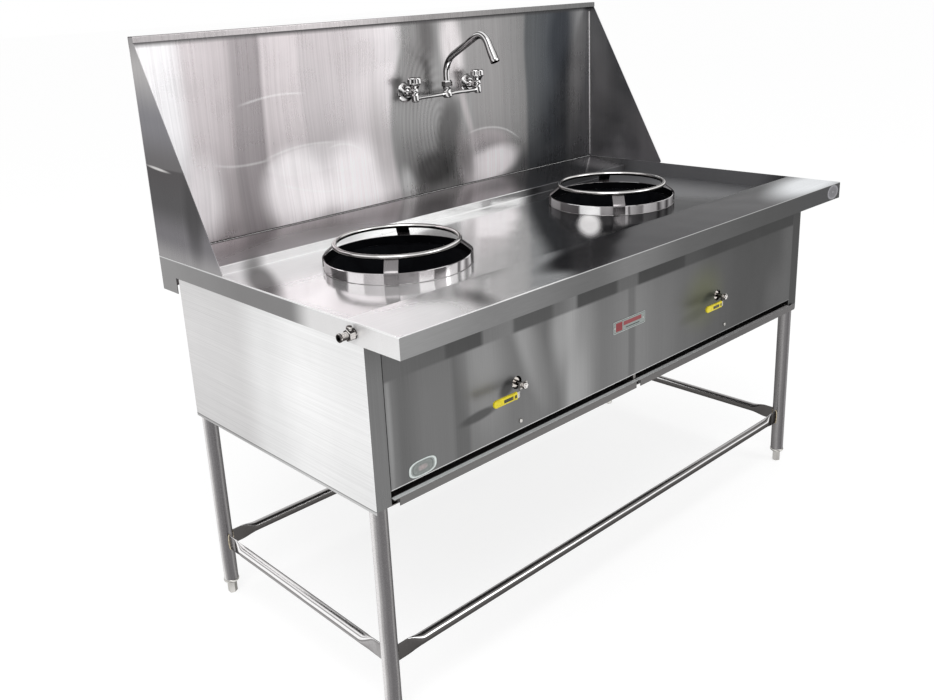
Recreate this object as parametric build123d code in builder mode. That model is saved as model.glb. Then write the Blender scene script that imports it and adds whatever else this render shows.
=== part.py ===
"""Two-burner wok range: steel top, splashback, wall tap, gas line, drip trays and tube legs.

The frame: X runs to the right as the cook sees it, Y away from the cook, Z up. The origin is on
the floor, under the middle of the box that holds the whole range.
"""

import os

from build123d import *

os.makedirs("parts", exist_ok=True)

# ---------------------------------------------------------------- overall sizes
length = 1400  # left apron to right apron
depth = 770  # front apron to the back of the splashback
top_height = 775.5  # floor to the front ledge
total_height = 1214  # floor to the top of the splashback
inlet_reach = 30  # how far the gas inlet stands out to the left
tail_reach = 30  # how far the tap's tails stand out behind

right = (length + inlet_reach) / 2
left = right - length
front = -(depth + tail_reach) / 2
back = front + depth

# ---------------------------------------------------------------- sheet metal
sheet = 1.5
bend = 2.0  # outside radius of a fold
gap = 0.3  # clearance where one piece is set into another

# ---------------------------------------------------------------- top
apron_drop = 38  # front and side aprons
rear_apron_drop = 71.5
rear_apron_wrap = 62  # how far the deeper rear apron runs round each side
ledge_depth = 136  # front ledge, apron to the step down
well_drop = 36.5  # ledge down to the sunk floor
shelf_depth = 130  # sloped rear shelf
shelf_fall = 17  # how far the shelf falls toward the cook
well_floor = top_height - well_drop
well_front = front + ledge_depth
shelf_front = back - shelf_depth

# ---------------------------------------------------------------- splashback
lip_depth = 20
lip_drop = 12
wing_foot = 257  # how far the raked wing reaches forward at its foot

# ---------------------------------------------------------------- body
body_front = front + 94
body_back = back - 70
body_height = 341.5  # ledge down to the foot of the side panels
side_bottom = top_height - body_height
post_bottom = side_bottom + 5
panel_bottom = side_bottom + 31
post_top = well_floor + 3
hem = 15  # width of the panels' folded-in edges

# ---------------------------------------------------------------- legs, rails, feet
leg_r = 15.9
tube_wall = 1.5
leg_bottom = 36
leg_top = well_floor - 4
socket_bottom = 28
socket_r = leg_r + 1.1
stud_r = 8
thread_play = 0.05
foot_flats = 18
rail_r = 11
rail_height = 132
flat_height = 34.6
flat_thick = 3
flat_length = 25
flare_length = 35

leg_inset = 2 * sheet + gap + leg_r
leg_x = (left + leg_inset, right - leg_inset)
leg_y = (body_front + sheet + gap + leg_r, body_back - sheet - gap - leg_r)
post_face = 2 * (leg_r + gap) + sheet
panel_left = left + 2 * sheet + post_face + gap  # front and back panels fill the space between posts
panel_right = right - 2 * sheet - post_face - gap

# ---------------------------------------------------------------- burners
burner_x = (left + 350, right - 350)
burner_y = front + 419
drum_r = 152
drum_wall = 2
drum_height = 22
deck_hole_r = drum_r - 12
chamber_depth = 99
chamber_mouth_r = deck_hole_r - 1
chamber_foot_r = 84
chamber_wall = 4
burner_r = 52
burner_height = 34
burner_bottom = well_floor - chamber_depth - 3 - burner_height
port_circle_r = burner_r - 16
port_count = 16

# ---------------------------------------------------------------- wok ring
ring_r = drum_r - 24
ring_wire_r = 5
ring_height = well_floor + drum_height + 26.5
strap_width = 28
strap_thick = 2.5
strap_count = 4

# ---------------------------------------------------------------- gas line
manifold_r = 8.6
manifold_wall = 2.3
manifold_y = front + 113
manifold_z = well_floor + 17
valve_x = (burner_x[0], burner_x[1] - 24)
valve_z = panel_bottom + 99
valve_r = 16
valve_flats = 25
stem_r = 5
stem_play = 0.05
stem_face = front + 76  # outer face of the lever at the stem
lever_thick = 2.5
lever_width = 12
lever_reach = 93
joggle = 14
grip_length = 60
grip_height = 15
grip_thick = 6.5
jet_z = panel_bottom + 50
mixing_r = 18
mixing_wall = 3
mouth_y = front + 160

# ---------------------------------------------------------------- drip trays
tray_front = front + 88.6
tray_flange = 10
pan_front = tray_front + tray_flange
tray_back = body_back - 12
tray_bottom = side_bottom + 1.8
tray_top = tray_bottom + 15.2
tray_split = left + 720.25  # middle of the space between the two trays
tray_space = 14.5
lip_left = (left + 50, tray_split + tray_space / 2)
lip_right = (tray_split - tray_space / 2, right - 14)
pan_left = (panel_left + 15, lip_left[1] + 4.5)
pan_right = (lip_right[0] - 5, panel_right - 4)
flange_left = (panel_left + 1, tray_split + 1)
flange_right = (tray_split - 1, panel_right - 1)
runner_flange = 25
runner_top = tray_top + 1

# ---------------------------------------------------------------- tap
tap_centres = 212.6
tap_x = left + 798.4
tap_y = back - 38
tap_x_left = tap_x - tap_centres / 2
tap_x_right = tap_x + tap_centres / 2
tap_valve_r = 9.25
shank_z = total_height - 178
tap_bottom = shank_z - 23.5
tap_valve_top = shank_z + 9
bridge_z = shank_z - 14
bridge_r = 5
shank_r = 7.5
wall_r = 10.3  # shank where it passes the wall flange, the splashback and the lock nut
tail_r = 10
locknut_height = 8
flange_r = 25
handle_r = 20
handle_height = 26
nut_bottom = shank_z + 4.5
nut_top = nut_bottom + 14.5
spout_r = 8
outlet_r = 10.75
spout_play = 0.05

# ---------------------------------------------------------------- trim
plate_size = (107, 25.8, 0.8)
plate_centre = (left + 692.3, panel_bottom + 123.6)
screw_x = (burner_x[0] + 7, burner_x[1] + 10)
screw_z = panel_bottom + 19


def bent_sheet(corners, side=Side.RIGHT, radius=bend):
    """Edge-on section of a folded sheet whose outer face runs through the corners."""
    with BuildSketch() as section:
        with BuildLine():
            FilletPolyline(*corners, radius=radius)
            offset(amount=sheet, side=side)
        make_face()
    return section.sketch


# ================================================================ deck
deck_outline = [
    (front, top_height - apron_drop),
    (front, top_height),
    (well_front, top_height),
    (well_front, well_floor),
    (shelf_front, well_floor),
    (shelf_front, top_height - shelf_fall),
    (back, top_height),
    (back, top_height - rear_apron_drop),
]

with BuildPart() as deck:
    with BuildSketch(Plane.YZ.offset(left)):
        add(bent_sheet(deck_outline))
    extrude(amount=length)
    # each end is closed by a side apron, deeper where the rear apron wraps round
    for end in (left, right - sheet):
        with BuildSketch(Plane.YZ.offset(end)):
            with BuildLine():
                Polyline(
                    (front + bend, top_height),
                    (back - bend, top_height),
                    (back, top_height - bend),
                    (back, top_height - rear_apron_drop),
                    (back - rear_apron_wrap, top_height - rear_apron_drop),
                    (back - rear_apron_wrap, top_height - apron_drop),
                    (front, top_height - apron_drop),
                    (front, top_height - bend),
                    close=True,
                )
            make_face()
        extrude(amount=sheet)
    with Locations(*[(x, burner_y, well_floor) for x in burner_x]):
        Cylinder(deck_hole_r, 10, mode=Mode.SUBTRACT)
    # the gas inlet passes through the left apron
    with Locations((left, manifold_y, manifold_z)):
        Cylinder(manifold_r + 1, 10, rotation=(0, 90, 0), mode=Mode.SUBTRACT)
deck.part.label = "deck"
export_step(deck.part, "parts/deck.step")

# ================================================================ splashback
splash_outline = [
    (back, top_height),
    (back, total_height),
    (back - lip_depth, total_height),
    (back - lip_depth, total_height - lip_drop),
]

with BuildPart() as splash_panel:
    with BuildSketch(Plane.YZ.offset(left)):
        add(bent_sheet(splash_outline, side=Side.LEFT))
    extrude(amount=length)
    with Locations(*[(x, back, shank_z) for x in (tap_x_left, tap_x_right)]):
        Cylinder(wall_r + gap, 10, rotation=(90, 0, 0), mode=Mode.SUBTRACT)
splash_panel.part.label = "splash_panel"
export_step(splash_panel.part, "parts/splash_panel.step")

wing_back = back - sheet - gap
wing_top = total_height - sheet - gap
wing_front = back - lip_depth + sheet + gap
for name, x in (("left", left), ("right", right - sheet)):
    with BuildPart() as splash_wing:
        with BuildSketch(Plane.YZ.offset(x)) as outline:
            with BuildLine():
                Polyline(
                    (wing_back, top_height + gap),
                    (back - wing_foot, top_height + gap),
                    (wing_front, total_height - lip_drop),
                    (wing_front, wing_top),
                    (wing_back, wing_top),
                    close=True,
                )
            make_face()
            fillet(outline.vertices().sort_by(Axis.X)[0], radius=4)
            fillet(outline.vertices().group_by(Axis.Y)[-1], radius=bend)
        extrude(amount=sheet)
    splash_wing.part.label = f"splash_wing_{name}"
    export_step(splash_wing.part, f"parts/splash_wing_{name}.step")

# ================================================================ corner posts
post_depth = 34
for name, x, y, mirror_x, mirror_y in (
    ("front_left", left + 2 * sheet, body_front, 1, 1),
    ("front_right", right - 2 * sheet, body_front, -1, 1),
    ("rear_left", left + 2 * sheet, body_back, 1, -1),
    ("rear_right", right - 2 * sheet, body_back, -1, -1),
):
    inner = x + mirror_x * post_face
    corners = [(x, y), (inner, y), (inner, y + mirror_y * post_depth)]
    with BuildPart() as corner_post:
        with BuildSketch(Plane.XY.offset(post_bottom)):
            add(bent_sheet(corners, side=Side.LEFT if mirror_x == mirror_y else Side.RIGHT))
        extrude(amount=post_top - post_bottom)
    corner_post.part.label = f"corner_post_{name}"
    export_step(corner_post.part, f"parts/corner_post_{name}.step")

# ================================================================ body panels
for name, x, inward in (("left", left + sheet, 1), ("right", right - sheet, -1)):
    corners = [
        (x + inward * hem, side_bottom),
        (x, side_bottom),
        (x, well_floor - sheet),
        (x + inward * hem, well_floor - sheet),
    ]
    with BuildPart() as side_panel:
        with BuildSketch(Plane.XZ.offset(-body_front)):
            add(bent_sheet(corners, side=Side.RIGHT if inward > 0 else Side.LEFT))
        extrude(amount=body_front - body_back)
        # the folds stop short of the posts and legs
        for y in leg_y:
            with Locations(*[(x + inward * (sheet + hem), y, z) for z in (side_bottom, well_floor)]):
                Box(2 * hem, 2 * leg_r + 8, 8, mode=Mode.SUBTRACT)
    side_panel.part.label = f"side_panel_{name}"
    export_step(side_panel.part, f"parts/side_panel_{name}.step")

panel_width = panel_right - panel_left
front_outline = [
    (body_front + hem, panel_bottom),
    (body_front, panel_bottom),
    (body_front, top_height - sheet),
    (body_front + hem, top_height - sheet),
]
back_outline = [
    (body_back - hem, panel_bottom),
    (body_back, panel_bottom),
    (body_back, top_height - shelf_fall - sheet),
    (body_back - hem, top_height - shelf_fall - sheet),
]

with BuildPart() as front_panel:
    with BuildSketch(Plane.YZ.offset(panel_left)):
        add(bent_sheet(front_outline))
    extrude(amount=panel_width)
    # a round hole for each valve stem
    with Locations(*[(x, body_front, valve_z) for x in valve_x]):
        Cylinder(13, 10, rotation=(90, 0, 0), mode=Mode.SUBTRACT)
front_panel.part.label = "front_panel"
export_step(front_panel.part, "parts/front_panel.step")

with BuildPart() as back_panel:
    with BuildSketch(Plane.YZ.offset(panel_left)):
        add(bent_sheet(back_outline, side=Side.LEFT))
    extrude(amount=panel_width)
back_panel.part.label = "back_panel"
export_step(back_panel.part, "parts/back_panel.step")

# ================================================================ legs and feet
for side, x in zip(("left", "right"), leg_x):
    for end, y in zip(("front", "rear"), leg_y):
        with BuildPart() as leg:
            with BuildSketch(Plane.XY.offset(leg_bottom)):
                with Locations((x, y)):
                    Circle(leg_r)
                    Circle(leg_r - tube_wall, mode=Mode.SUBTRACT)
            extrude(amount=leg_top - leg_bottom)
        leg.part.label = f"leg_{end}_{side}"
        export_step(leg.part, f"parts/leg_{end}_{side}.step")

        with BuildPart() as foot:
            with BuildSketch(Plane.XY):
                with Locations((x, y)):
                    RegularPolygon(foot_flats / 2, 6, major_radius=False)
            extrude(amount=socket_bottom - gap)
            chamfer(foot.edges().group_by(Axis.Z)[0], length=1.5)
            # the screw that stands up into the leg
            with BuildSketch(Plane.XY.offset(socket_bottom - gap)):
                with Locations((x, y)):
                    Circle(stud_r)
            extrude(amount=30)
        foot.part.label = f"foot_{end}_{side}"
        export_step(foot.part, f"parts/foot_{end}_{side}.step")

# one turned socket closes each leg and holds its foot
with BuildPart() as foot_sockets:
    with BuildSketch(Plane.XZ) as profile:
        with BuildLine():
            Polyline(
                (stud_r + thread_play, socket_bottom),
                (socket_r - 4, socket_bottom),
                (socket_r, socket_bottom + 4),
                (socket_r, leg_bottom),
                (leg_r - tube_wall - 0.1, leg_bottom),
                (leg_r - tube_wall - 0.1, leg_bottom + 24),
                (stud_r + thread_play, leg_bottom + 24),
                close=True,
            )
        make_face()
        fillet(profile.vertices().group_by(Axis.X)[-1], radius=1.5)
    turned = revolve(axis=Axis.Z, mode=Mode.PRIVATE)
    for x in leg_x:
        for y in leg_y:
            with Locations((x, y)):
                add(turned)
foot_sockets.part.label = "foot_sockets"
export_step(foot_sockets.part, "parts/foot_sockets.step")


# ================================================================ rails
def flattened_rail(start, along, span):
    """Round tube between two legs, pinched flat and upright at both ends."""
    middle = span - 2 * (flat_length + flare_length)
    plane = Plane(origin=start, x_dir=(0, 0, 1), z_dir=along)
    with BuildPart() as rail:
        for near, far in (
            (plane, plane.offset(flat_length)),
            (plane.offset(span - flat_length), plane.offset(span)),
        ):
            with BuildSketch(near):
                Ellipse(flat_height / 2, flat_thick / 2)
            extrude(amount=flat_length)
        for flat_end, round_end in (
            (plane.offset(flat_length), plane.offset(flat_length + flare_length)),
            (plane.offset(span - flat_length), plane.offset(span - flat_length - flare_length)),
        ):
            with BuildSketch(flat_end):
                Ellipse(flat_height / 2, flat_thick / 2)
            with BuildSketch(round_end):
                Circle(rail_r)
            loft()
        with BuildSketch(plane.offset(flat_length + flare_length)):
            Circle(rail_r)
            Circle(rail_r - tube_wall, mode=Mode.SUBTRACT)
        extrude(amount=middle)
    return rail


rail_x = (leg_x[0] + leg_r + gap, leg_x[1] - leg_r - gap)
rail_y = (leg_y[0] + leg_r + gap, leg_y[1] - leg_r - gap)
for name, start, along, span in (
    ("front", (rail_x[0], leg_y[0], rail_height), (1, 0, 0), rail_x[1] - rail_x[0]),
    ("rear", (rail_x[0], leg_y[1], rail_height), (1, 0, 0), rail_x[1] - rail_x[0]),
    ("left", (leg_x[0], rail_y[0], rail_height), (0, 1, 0), rail_y[1] - rail_y[0]),
    ("right", (leg_x[1], rail_y[0], rail_height), (0, 1, 0), rail_y[1] - rail_y[0]),
):
    rail = flattened_rail(start, along, span)
    rail.part.label = f"rail_{name}"
    export_step(rail.part, f"parts/rail_{name}.step")

# ================================================================ burners
chamber_foot = well_floor - chamber_depth
for name, x, entry_x in zip(("left", "right"), burner_x, valve_x):
    axis_plane = Plane(origin=(x, burner_y, 0), x_dir=(1, 0, 0), z_dir=(0, -1, 0))
    axis = Axis((x, burner_y, 0), (0, 0, 1))

    # polished collar standing on the sunk floor
    with BuildPart() as drum:
        with BuildSketch(axis_plane) as profile:
            with Locations((drum_r - drum_wall / 2, well_floor + drum_height / 2)):
                Rectangle(drum_wall, drum_height)
            fillet(profile.vertices().group_by(Axis.Y)[-1], radius=0.8)
        revolve(axis=axis)
    drum.part.label = f"drum_{name}"
    export_step(drum.part, f"parts/drum_{name}.step")

    # cast cone that hangs in the deck's hole by its rim
    with BuildPart() as chamber:
        with BuildSketch(axis_plane):
            with BuildLine():
                Polyline(
                    (drum_r - drum_wall - gap, well_floor),
                    (drum_r - drum_wall - gap, well_floor + 4),
                    (chamber_mouth_r - chamber_wall, well_floor + 4),
                    (chamber_foot_r - chamber_wall, chamber_foot + 12),
                    (chamber_foot_r - chamber_wall, chamber_foot),
                    (chamber_foot_r, chamber_foot),
                    (chamber_foot_r, chamber_foot + 10),
                    (chamber_mouth_r, well_floor),
                    close=True,
                )
            make_face()
        revolve(axis=axis)
    chamber.part.label = f"chamber_{name}"
    export_step(chamber.part, f"parts/chamber_{name}.step")

    # drilled burner head on a hollow base
    with BuildPart() as burner:
        with BuildSketch(axis_plane):
            with BuildLine():
                Polyline(
                    (0, burner_bottom),
                    (burner_r - 4, burner_bottom),
                    (burner_r, burner_bottom + 8),
                    (burner_r, burner_bottom + 24),
                    (port_circle_r + 8, burner_bottom + burner_height),
                    (port_circle_r - 8, burner_bottom + burner_height),
                    (port_circle_r - 14, burner_bottom + 26),
                    (0, burner_bottom + 26),
                    close=True,
                )
            make_face()
        revolve(axis=axis)
        with Locations((x, burner_y, burner_bottom + burner_height)):
            with PolarLocations(port_circle_r, port_count):
                Hole(2.5, depth=12)
        with Locations((entry_x, burner_y, burner_bottom)):
            Cylinder(mixing_r + 0.1, 24, mode=Mode.SUBTRACT)
    burner.part.label = f"burner_{name}"
    export_step(burner.part, f"parts/burner_{name}.step")

    # bell-mouthed tube that draws air in round the jet and turns up into the burner
    with BuildPart() as mixing_tube:
        with BuildLine() as route:
            FilletPolyline(
                (entry_x, mouth_y + 40, jet_z),
                (entry_x, burner_y, jet_z),
                (entry_x, burner_y, burner_bottom + 10),
                radius=36,
            )
        with BuildSketch(route.line ^ 0):
            Circle(mixing_r)
            Circle(mixing_r - mixing_wall, mode=Mode.SUBTRACT)
        sweep()
        with BuildSketch(Plane(origin=(entry_x, 0, jet_z), x_dir=(0, 1, 0), z_dir=(-1, 0, 0))):
            with BuildLine():
                Polyline(
                    (mouth_y, -24),
                    (mouth_y, -21),
                    (mouth_y + 22, mixing_wall - mixing_r),
                    (mouth_y + 40, mixing_wall - mixing_r),
                    (mouth_y + 40, -mixing_r),
                    (mouth_y + 24, -mixing_r),
                    close=True,
                )
            make_face()
        revolve(axis=Axis((entry_x, 0, jet_z), (0, 1, 0)))
    mixing_tube.part.label = f"mixing_tube_{name}"
    export_step(mixing_tube.part, f"parts/mixing_tube_{name}.step")

# two angles and a cross strap carry each burner head between the front and back panels
cradle_half = 90
cradle_front = body_front + sheet + gap
cradle_back = body_back - sheet - gap
with BuildPart() as burner_cradles:
    for x, entry_x in zip(burner_x, valve_x):
        for side in (-1, 1):
            with BuildSketch(Plane.XZ.offset(-cradle_front)):
                with Locations((x + side * (cradle_half + 12.5), burner_bottom - 4.5)):
                    Rectangle(25, 3)
                with Locations((x + side * (cradle_half + 23.5), burner_bottom - 15.5)):
                    Rectangle(3, 25)
            extrude(amount=cradle_front - cradle_back)
        with BuildSketch(Plane.XY.offset(burner_bottom - 3)):
            with Locations((x, burner_y)):
                Rectangle(2 * cradle_half + 50, 60)
            with Locations((entry_x, burner_y)):
                Circle(mixing_r + 1, mode=Mode.SUBTRACT)
        extrude(amount=3)
burner_cradles.part.label = "burner_cradles"
export_step(burner_cradles.part, "parts/burner_cradles.step")

# ================================================================ wok rings
strap_out = drum_r + gap + strap_thick
strap_turn = well_floor + drum_height + 1.2
for name, x in zip(("left", "right"), burner_x):
    with BuildPart() as wok_ring:
        with Locations((x, burner_y, ring_height)):
            Torus(ring_r, ring_wire_r)
        # straps slope down from the wire, bend over the drum's rim and run down its side
        for number in range(strap_count):
            turn = 45 + number * 360 / strap_count
            radial = Plane(
                origin=(x, burner_y, 0),
                x_dir=Vector(1, 0, 0).rotate(Axis.Z, turn),
                z_dir=Vector(0, -1, 0).rotate(Axis.Z, turn),
            )
            with BuildSketch(radial):
                with BuildLine():
                    FilletPolyline(
                        (ring_r - 2.5, ring_height - 0.6),
                        (strap_out, strap_turn),
                        (strap_out, well_floor + 2),
                        radius=3.5,
                    )
                    offset(amount=strap_thick, side=Side.RIGHT)
                make_face()
            extrude(amount=strap_width / 2, both=True)
    wok_ring.part.label = f"wok_ring_{name}"
    export_step(wok_ring.part, f"parts/wok_ring_{name}.step")

# ================================================================ gas line
manifold_start = left + 12
manifold_end = valve_x[1] + 30
drop_bottom = valve_z + 26
with BuildPart() as manifold:
    with Locations((manifold_start, manifold_y, manifold_z)):
        Cylinder(manifold_r, manifold_end - manifold_start, rotation=(0, 90, 0),
                 align=(Align.CENTER, Align.CENTER, Align.MIN))
    # a tee over each valve, with a pipe dropping to it
    for x in valve_x:
        with Locations((x, manifold_y, manifold_z)):
            Cylinder(manifold_r + 3.5, 42, rotation=(0, 90, 0))
        with Locations((x, manifold_y, manifold_z - 24)):
            Cylinder(manifold_r + 3.5, 24, align=(Align.CENTER, Align.CENTER, Align.MIN))
        with Locations((x, manifold_y, drop_bottom)):
            Cylinder(manifold_r, manifold_z - drop_bottom, align=(Align.CENTER, Align.CENTER, Align.MIN))
    # end cap
    with Locations((manifold_end, manifold_y, manifold_z)):
        Cylinder(manifold_r + 3.5, 14, rotation=(0, 90, 0))
    with Locations((manifold_start, manifold_y, manifold_z)):
        Cylinder(manifold_r - manifold_wall, manifold_end - manifold_start, rotation=(0, 90, 0),
                 align=(Align.CENTER, Align.CENTER, Align.MIN), mode=Mode.SUBTRACT)
    with Locations(*[(x, manifold_y, drop_bottom) for x in valve_x]):
        Cylinder(manifold_r - manifold_wall, manifold_z - drop_bottom,
                 align=(Align.CENTER, Align.CENTER, Align.MIN), mode=Mode.SUBTRACT)
manifold.part.label = "manifold"
export_step(manifold.part, "parts/manifold.step")

# inlet: threaded end, hexagon with a capped test point on top, sleeve through the apron
with BuildPart() as gas_inlet:
    with Locations((left - inlet_reach, manifold_y, manifold_z)):
        Cylinder(6.6, 20, rotation=(0, 90, 0), align=(Align.CENTER, Align.CENTER, Align.MIN))
    chamfer(gas_inlet.edges().group_by(Axis.X)[0], length=1)
    with BuildSketch(Plane(origin=(left - 14, manifold_y, manifold_z), z_dir=(1, 0, 0))):
        RegularPolygon(9, 6, major_radius=False)
    extrude(amount=12)
    with Locations((left - 2, manifold_y, manifold_z)):
        Cylinder(manifold_r, 13.7, rotation=(0, 90, 0), align=(Align.CENTER, Align.CENTER, Align.MIN))
    with Locations((left - 8, manifold_y, manifold_z)):
        Cylinder(5, 15, align=(Align.CENTER, Align.CENTER, Align.MIN))
    with Locations((left - inlet_reach - 1, manifold_y, manifold_z)):
        Cylinder(4.5, 50, rotation=(0, 90, 0), align=(Align.CENTER, Align.CENTER, Align.MIN),
                 mode=Mode.SUBTRACT)
gas_inlet.part.label = "gas_inlet"
export_step(gas_inlet.part, "parts/gas_inlet.step")

bonnet_face = body_front + 3
for name, x in zip(("left", "right"), valve_x):
    # ball valve with its bore upright and its bonnet toward the cook
    with BuildPart() as gas_valve:
        with BuildSketch(Plane(origin=(x, manifold_y, 0), x_dir=(1, 0, 0), z_dir=(0, -1, 0))):
            with BuildLine():
                Polyline(
                    (0, valve_z - 22),
                    (12, valve_z - 22),
                    (valve_r, valve_z - 8),
                    (valve_r, valve_z + 8),
                    (12, valve_z + 22),
                    (0, valve_z + 22),
                    close=True,
                )
            make_face()
        revolve(axis=Axis((x, manifold_y, 0), (0, 0, 1)))
        for z in (valve_z - 26, valve_z + 14):
            with BuildSketch(Plane.XY.offset(z)):
                with Locations((x, manifold_y)):
                    RegularPolygon(valve_flats / 2, 6, major_radius=False)
            extrude(amount=12)
        with Locations((x, bonnet_face, valve_z)):
            Cylinder(9, manifold_y - bonnet_face, rotation=(-90, 0, 0),
                     align=(Align.CENTER, Align.CENTER, Align.MIN))
        with Locations((x, bonnet_face - 1, valve_z)):
            Cylinder(stem_r + stem_play, 13, rotation=(-90, 0, 0),
                     align=(Align.CENTER, Align.CENTER, Align.MIN), mode=Mode.SUBTRACT)
    gas_valve.part.label = f"gas_valve_{name}"
    export_step(gas_valve.part, f"parts/gas_valve_{name}.step")

    # stem with a shoulder behind the lever and a nut in front of it
    with BuildPart() as valve_stem:
        with Locations((x, stem_face + lever_thick, valve_z)):
            Cylinder(stem_r, bonnet_face + 11 - stem_face - lever_thick, rotation=(-90, 0, 0),
                     align=(Align.CENTER, Align.CENTER, Align.MIN))
        with Locations((x, stem_face - 6, valve_z)):
            Cylinder(3.5, 10, rotation=(-90, 0, 0), align=(Align.CENTER, Align.CENTER, Align.MIN))
        with BuildSketch(Plane.XZ.offset(-stem_face)):
            with Locations((x, valve_z)):
                RegularPolygon(6, 6, major_radius=False)
        extrude(amount=5)
    valve_stem.part.label = f"valve_stem_{name}"
    export_step(valve_stem.part, f"parts/valve_stem_{name}.step")

    # flat lever, stepped forward so that its end clears the panel
    lever_end = x - lever_reach
    with BuildPart() as valve_lever:
        with BuildSketch(Plane.XY.offset(valve_z - lever_width / 2)):
            with BuildLine():
                FilletPolyline(
                    (x + 9, stem_face),
                    (x - 12, stem_face),
                    (x - 26, stem_face - joggle),
                    (lever_end, stem_face - joggle),
                    radius=4,
                )
                offset(amount=lever_thick, side=Side.RIGHT)
            make_face()
        extrude(amount=lever_width)
        fillet(valve_lever.edges().filter_by(Axis.Y).group_by(Axis.X)[-1], radius=5)
        with Locations((x, stem_face, valve_z)):
            Cylinder(3.55, 10, rotation=(90, 0, 0), mode=Mode.SUBTRACT)
    valve_lever.part.label = f"valve_lever_{name}"
    export_step(valve_lever.part, f"parts/valve_lever_{name}.step")

    # dipped vinyl grip over the lever's end
    grip_mid = stem_face - joggle + lever_thick / 2
    with BuildPart() as valve_grip:
        with BuildSketch(Plane.XZ.offset(-grip_mid)):
            with Locations((lever_end - 1.5 + grip_length / 2, valve_z)):
                RectangleRounded(grip_length, grip_height, 4)
        extrude(amount=grip_thick / 2, both=True)
        fillet(valve_grip.edges().group_by(Axis.Y)[0] + valve_grip.edges().group_by(Axis.Y)[-1], radius=1.8)
        with Locations((lever_end - gap / 6, grip_mid, valve_z)):
            Box(grip_length, lever_thick + 0.1, lever_width + 0.1,
                align=(Align.MIN, Align.CENTER, Align.CENTER), mode=Mode.SUBTRACT)
    valve_grip.part.label = f"valve_grip_{name}"
    export_step(valve_grip.part, f"parts/valve_grip_{name}.step")

# an elbow under each valve turns back to the jet
with BuildPart() as gas_jets:
    for x in valve_x:
        with Locations((x, manifold_y, jet_z)):
            Sphere(manifold_r + 1)
            Cylinder(manifold_r, valve_z - 26 - jet_z, align=(Align.CENTER, Align.CENTER, Align.MIN))
            Cylinder(manifold_r, 24, rotation=(-90, 0, 0), align=(Align.CENTER, Align.CENTER, Align.MIN))
        with BuildSketch(Plane(origin=(x, manifold_y + 24, jet_z), z_dir=(0, 1, 0))):
            RegularPolygon(8, 6, major_radius=False)
        extrude(amount=7)
        with Locations((x, manifold_y + 31, jet_z)):
            Cone(5, 2.5, 10, rotation=(-90, 0, 0), align=(Align.CENTER, Align.CENTER, Align.MIN))
gas_jets.part.label = "gas_jets"
export_step(gas_jets.part, "parts/gas_jets.step")

# ================================================================ drip trays
for number, name in enumerate(("left", "right")):
    pan_width = pan_right[number] - pan_left[number]
    pan_middle = (pan_right[number] + pan_left[number]) / 2
    lip_width = lip_right[number] - lip_left[number]
    lip_middle = (lip_right[number] + lip_left[number]) / 2
    flange_width = flange_right[number] - flange_left[number]
    flange_middle = (flange_right[number] + flange_left[number]) / 2
    with BuildPart() as drip_tray:
        with BuildSketch(Plane.XY.offset(tray_bottom)):
            with Locations((pan_middle, (pan_front + tray_back) / 2)):
                Rectangle(pan_width, tray_back - pan_front)
        extrude(amount=tray_top - tray_bottom)
        fillet(drip_tray.edges().filter_by(Axis.Z).group_by(Axis.Y)[-1], radius=3)
        offset(amount=-sheet, openings=drip_tray.faces().sort_by(Axis.Z)[-1])
        # a flange wider than the pan turns forward from its front wall, and from it the lip
        # that the hand pulls turns down
        with BuildSketch(Plane.XY.offset(tray_top)):
            with Locations((flange_middle, (tray_front + pan_front + sheet) / 2)):
                Rectangle(flange_width, tray_flange + sheet)
        extrude(amount=-sheet)
        with BuildSketch(Plane.XZ.offset(-tray_front)):
            with Locations((lip_middle, (tray_top + tray_bottom) / 2)):
                Rectangle(lip_width, tray_top - tray_bottom)
        extrude(amount=-sheet)
    drip_tray.part.label = f"drip_tray_{name}"
    export_step(drip_tray.part, f"parts/drip_tray_{name}.step")

# angles at the ends and one channel between the trays carry their edges
runner_front = pan_front + sheet + gap
runner_back = tray_back + 8
shelf_z = tray_bottom - gap - sheet
middle_left = lip_right[0] - 1
middle_right = lip_left[1] + 1
with BuildPart() as tray_runners:
    for web_x, foot_x in (
        (panel_left, panel_left + runner_flange),
        (panel_left + panel_width, panel_left + panel_width - runner_flange),
    ):
        inward = 1 if foot_x > web_x else -1
        with BuildSketch(Plane.XZ.offset(-runner_front)):
            add(bent_sheet(
                [(foot_x, shelf_z), (web_x, shelf_z), (web_x, runner_top)],
                side=Side.RIGHT if inward > 0 else Side.LEFT,
            ))
        extrude(amount=runner_front - runner_back)
    with BuildSketch(Plane.XZ.offset(-runner_front)):
        with Locations(((middle_left + middle_right) / 2, shelf_z + sheet / 2)):
            Rectangle(2 * runner_flange, sheet)
        with Locations(((middle_left + middle_right) / 2, (shelf_z + panel_bottom - gap) / 2)):
            Rectangle(8, panel_bottom - gap - shelf_z)
    extrude(amount=runner_front - runner_back)
tray_runners.part.label = "tray_runners"
export_step(tray_runners.part, "parts/tray_runners.step")

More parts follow.
